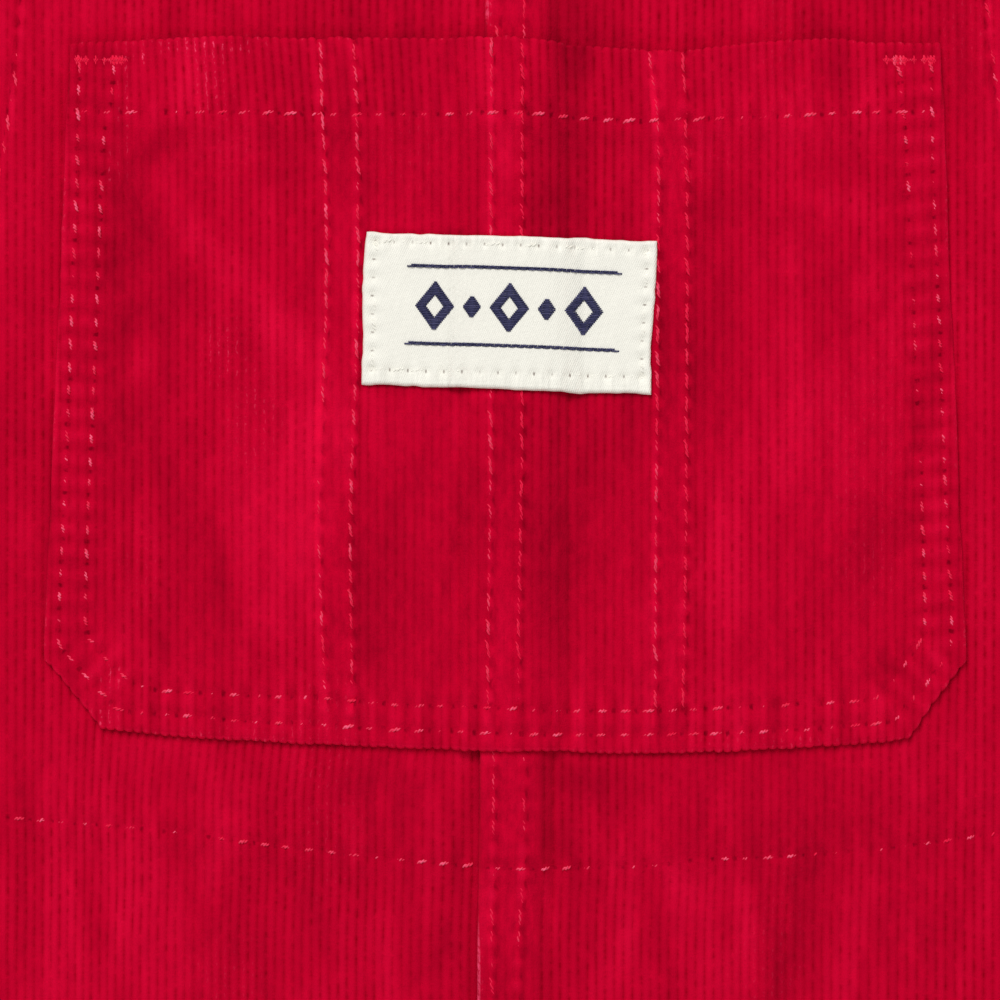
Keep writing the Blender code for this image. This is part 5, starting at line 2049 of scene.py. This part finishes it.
def make_button(name, node, side):
    """A four-hole button turned with a raised rim and a dished middle."""
    low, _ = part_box(node)
    form = bmesh.new()
    verts = [form.verts.new((radius * MM, 0.0, z * MM)) for radius, z in BUTTON_PROFILE_MM]
    edges = [form.edges.new(pair) for pair in zip(verts, verts[1:])]
    bmesh.ops.spin(
        form, geom=verts + edges, cent=(0, 0, 0), axis=(0, 0, 1), angle=2 * math.pi, steps=56,
        use_merge=True
    )
    bmesh.ops.remove_doubles(form, verts=form.verts, dist=1e-6)
    bmesh.ops.recalc_face_normals(form, faces=form.faces)
    mesh = bpy.data.meshes.new(name)
    form.to_mesh(mesh)
    form.clear()
    offset = BUTTON_HOLE_OFFSET * math.sqrt(2)
    for angle in (math.pi / 4 + math.pi / 2 * step for step in range(4)):
        made = bmesh.ops.create_cone(
            form, cap_ends=True, segments=20, radius1=BUTTON_HOLE_RADIUS, radius2=BUTTON_HOLE_RADIUS,
            depth=3 * BUTTON_HEIGHT
        )
        shift = (offset * math.cos(angle), offset * math.sin(angle), 0.0)
        bmesh.ops.translate(form, verts=made["verts"], vec=shift)
    cutter_mesh = bpy.data.meshes.new("button_cutter")
    form.to_mesh(cutter_mesh)
    form.free()
    blank, cutter = put(name + "_blank", mesh), put("button_cutter", cutter_mesh)
    cut = blank.modifiers.new("holes", "BOOLEAN")
    cut.operation = "DIFFERENCE"
    cut.object = cutter
    graph = bpy.context.evaluated_depsgraph_get()
    done = bpy.data.meshes.new_from_object(blank.evaluated_get(graph))
    bpy.data.objects.remove(blank)
    bpy.data.objects.remove(cutter)
    done.name = name
    done.materials.clear()
    done.materials.append(dyed)
    done.shade_smooth()
    done.set_sharp_from_angle(angle=BUTTON_SHARP)
    worn_piece(put(name, done, (side * STRAP_X, BUTTON_Y, low[2])), node)


BUTTON_THREADS = 5
BUTTON_THREAD_PITCH = 0.24 * MM
BUTTON_THREAD_STRAY = 0.04 * MM
BUTTON_THREAD_FOOT = 1.1 * MM
BUTTON_THREAD_RISE_MM = (1.16, 0.10)  # of every thread, and more for those nearer to the middle


def make_button_thread(name, node, side):
    """Two bars of thread through the button's holes."""
    low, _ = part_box(node)
    share = np.linspace(0, 1, FINE.points)
    paths = []
    rng = np.random.default_rng(SEED + 61)
    lift = np.clip(arch(share, 1) * 1.9, 0, 1)
    x = side * STRAP_X + (share * 2 - 1) * (BUTTON_HOLE_OFFSET + 0.25 * MM)
    for bar in (-1, 1):
        for strand in range(BUTTON_THREADS):
            aside = strand - BUTTON_THREADS // 2
            y = BUTTON_Y + bar * BUTTON_HOLE_OFFSET + aside * BUTTON_THREAD_PITCH
            rise = BUTTON_THREAD_RISE_MM[0] + BUTTON_THREAD_RISE_MM[1] * (2 - abs(aside))
            z = low[2] + BUTTON_THREAD_FOOT + lift * rise * MM
            y = y + rng.uniform(-BUTTON_THREAD_STRAY, BUTTON_THREAD_STRAY)
            paths.append(np.column_stack((x, y + 0 * x, z)))
    tones = 0.3 * rng.uniform(0, 1, len(paths))
    add_yarn(name, np.array(paths), tones, red_thread, FINE)


# ---- Camera, light and floor ----

VIEW_CENTRE = (-0.9 * MM, 107.7 * MM)
VIEW_WIDTH = 174.5 * MM
VIEW_PLANE = 6.8 * MM  # height of the pocket's face
LENS = 100.0
SENSOR = 36.0
FLOOR_Z = -0.2 * MM
FLOOR_HALF = 12.0


def make_camera():
    """Looks straight down, as wide as the photograph."""
    data = bpy.data.cameras.new("camera")
    data.lens = LENS
    data.sensor_width = SENSOR
    data.clip_start = 0.01
    height = VIEW_PLANE + VIEW_WIDTH * LENS / SENSOR
    bpy.context.scene.camera = put("camera", data, (*VIEW_CENTRE, height))


def add_light(name, place, target, size, watts):
    """A square lamp that faces a target."""
    data = bpy.data.lights.new(name, "AREA")
    data.size = size
    data.energy = watts
    direction = Vector(np.array(target) - np.array(place))
    put(name, data, place).rotation_euler = direction.to_track_quat("-Z", "Y").to_euler()


def make_studio():
    """Soft light mostly from above the shoulders, an even fill and a plain pale floor."""
    add_light("key", (-0.35, 1.05, 1.40), (0.0, 0.05, 0.0), 0.8, 18.5)
    add_light("fill", (0.9, -0.6, 1.4), (0.0, 0.0, 0.0), 1.6, 3.6)
    world = bpy.data.worlds.new("studio")
    bpy.context.scene.world = world
    world.use_nodes = True
    background = world.node_tree.nodes["Background"]
    background.inputs["Color"].default_value = rgb(1.0, 1.0, 1.0)
    background.inputs["Strength"].default_value = 0.42
    bpy.context.scene.view_settings.view_transform = "Standard"
    form = bmesh.new()
    bmesh.ops.create_grid(form, x_segments=1, y_segments=1, size=FLOOR_HALF)
    mesh = bpy.data.meshes.new("floor")
    form.to_mesh(mesh)
    form.free()
    finish = Finish("floor", {"Roughness": 0.75})
    cloud = finish.noise(finish.place(), 1.3, 3.0)
    finish.colour(finish.scaled(rgb(0.80, 0.80, 0.79), finish.times_plus(cloud, 0.03, 1.0)))
    mesh.materials.append(finish.material)
    floor = put("floor", mesh, (0.0, 0.0, FLOOR_Z))


# ---- The whole garment ----

make_camera()
make_studio()
back, back_stitching = make_back()
left, left_stitching = make_front("front_left_cloth", "front_left", 1)
right, right_stitching = make_front("front_right_cloth", "front_right", -1)
pocket, pocket_stitching = make_pocket()
label, label_stitching = make_label()
sew("back_stitches", back_stitching, back_seat, red_thread, PLAIN, 21)
sew("front_left_stitches", left_stitching, left_face, red_thread, FINE, 22)
sew("front_right_stitches", right_stitching, right_face, red_thread, FINE, 23)
sew("pocket_stitches", pocket_stitching, pocket_face, red_thread, FINE, 24)
sew("label_stitches", label_stitching, label_seat, cream_thread, FINE, 25)
make_tacks()
make_motif()

for word, sign in (("right", -1), ("left", 1)):
    strap, strap_stitching = make_strap("strap_" + word + "_cloth", "strap_" + word, sign)
    sew("strap_" + word + "_stitches", strap_stitching, strap_seat, red_thread, PLAIN, 26)
    make_buttonhole("buttonhole_" + word, sign)
    make_button("button_" + word + "_turned", "button_" + word, sign)
    make_button_thread("button_" + word + "_thread", "button_" + word, sign)
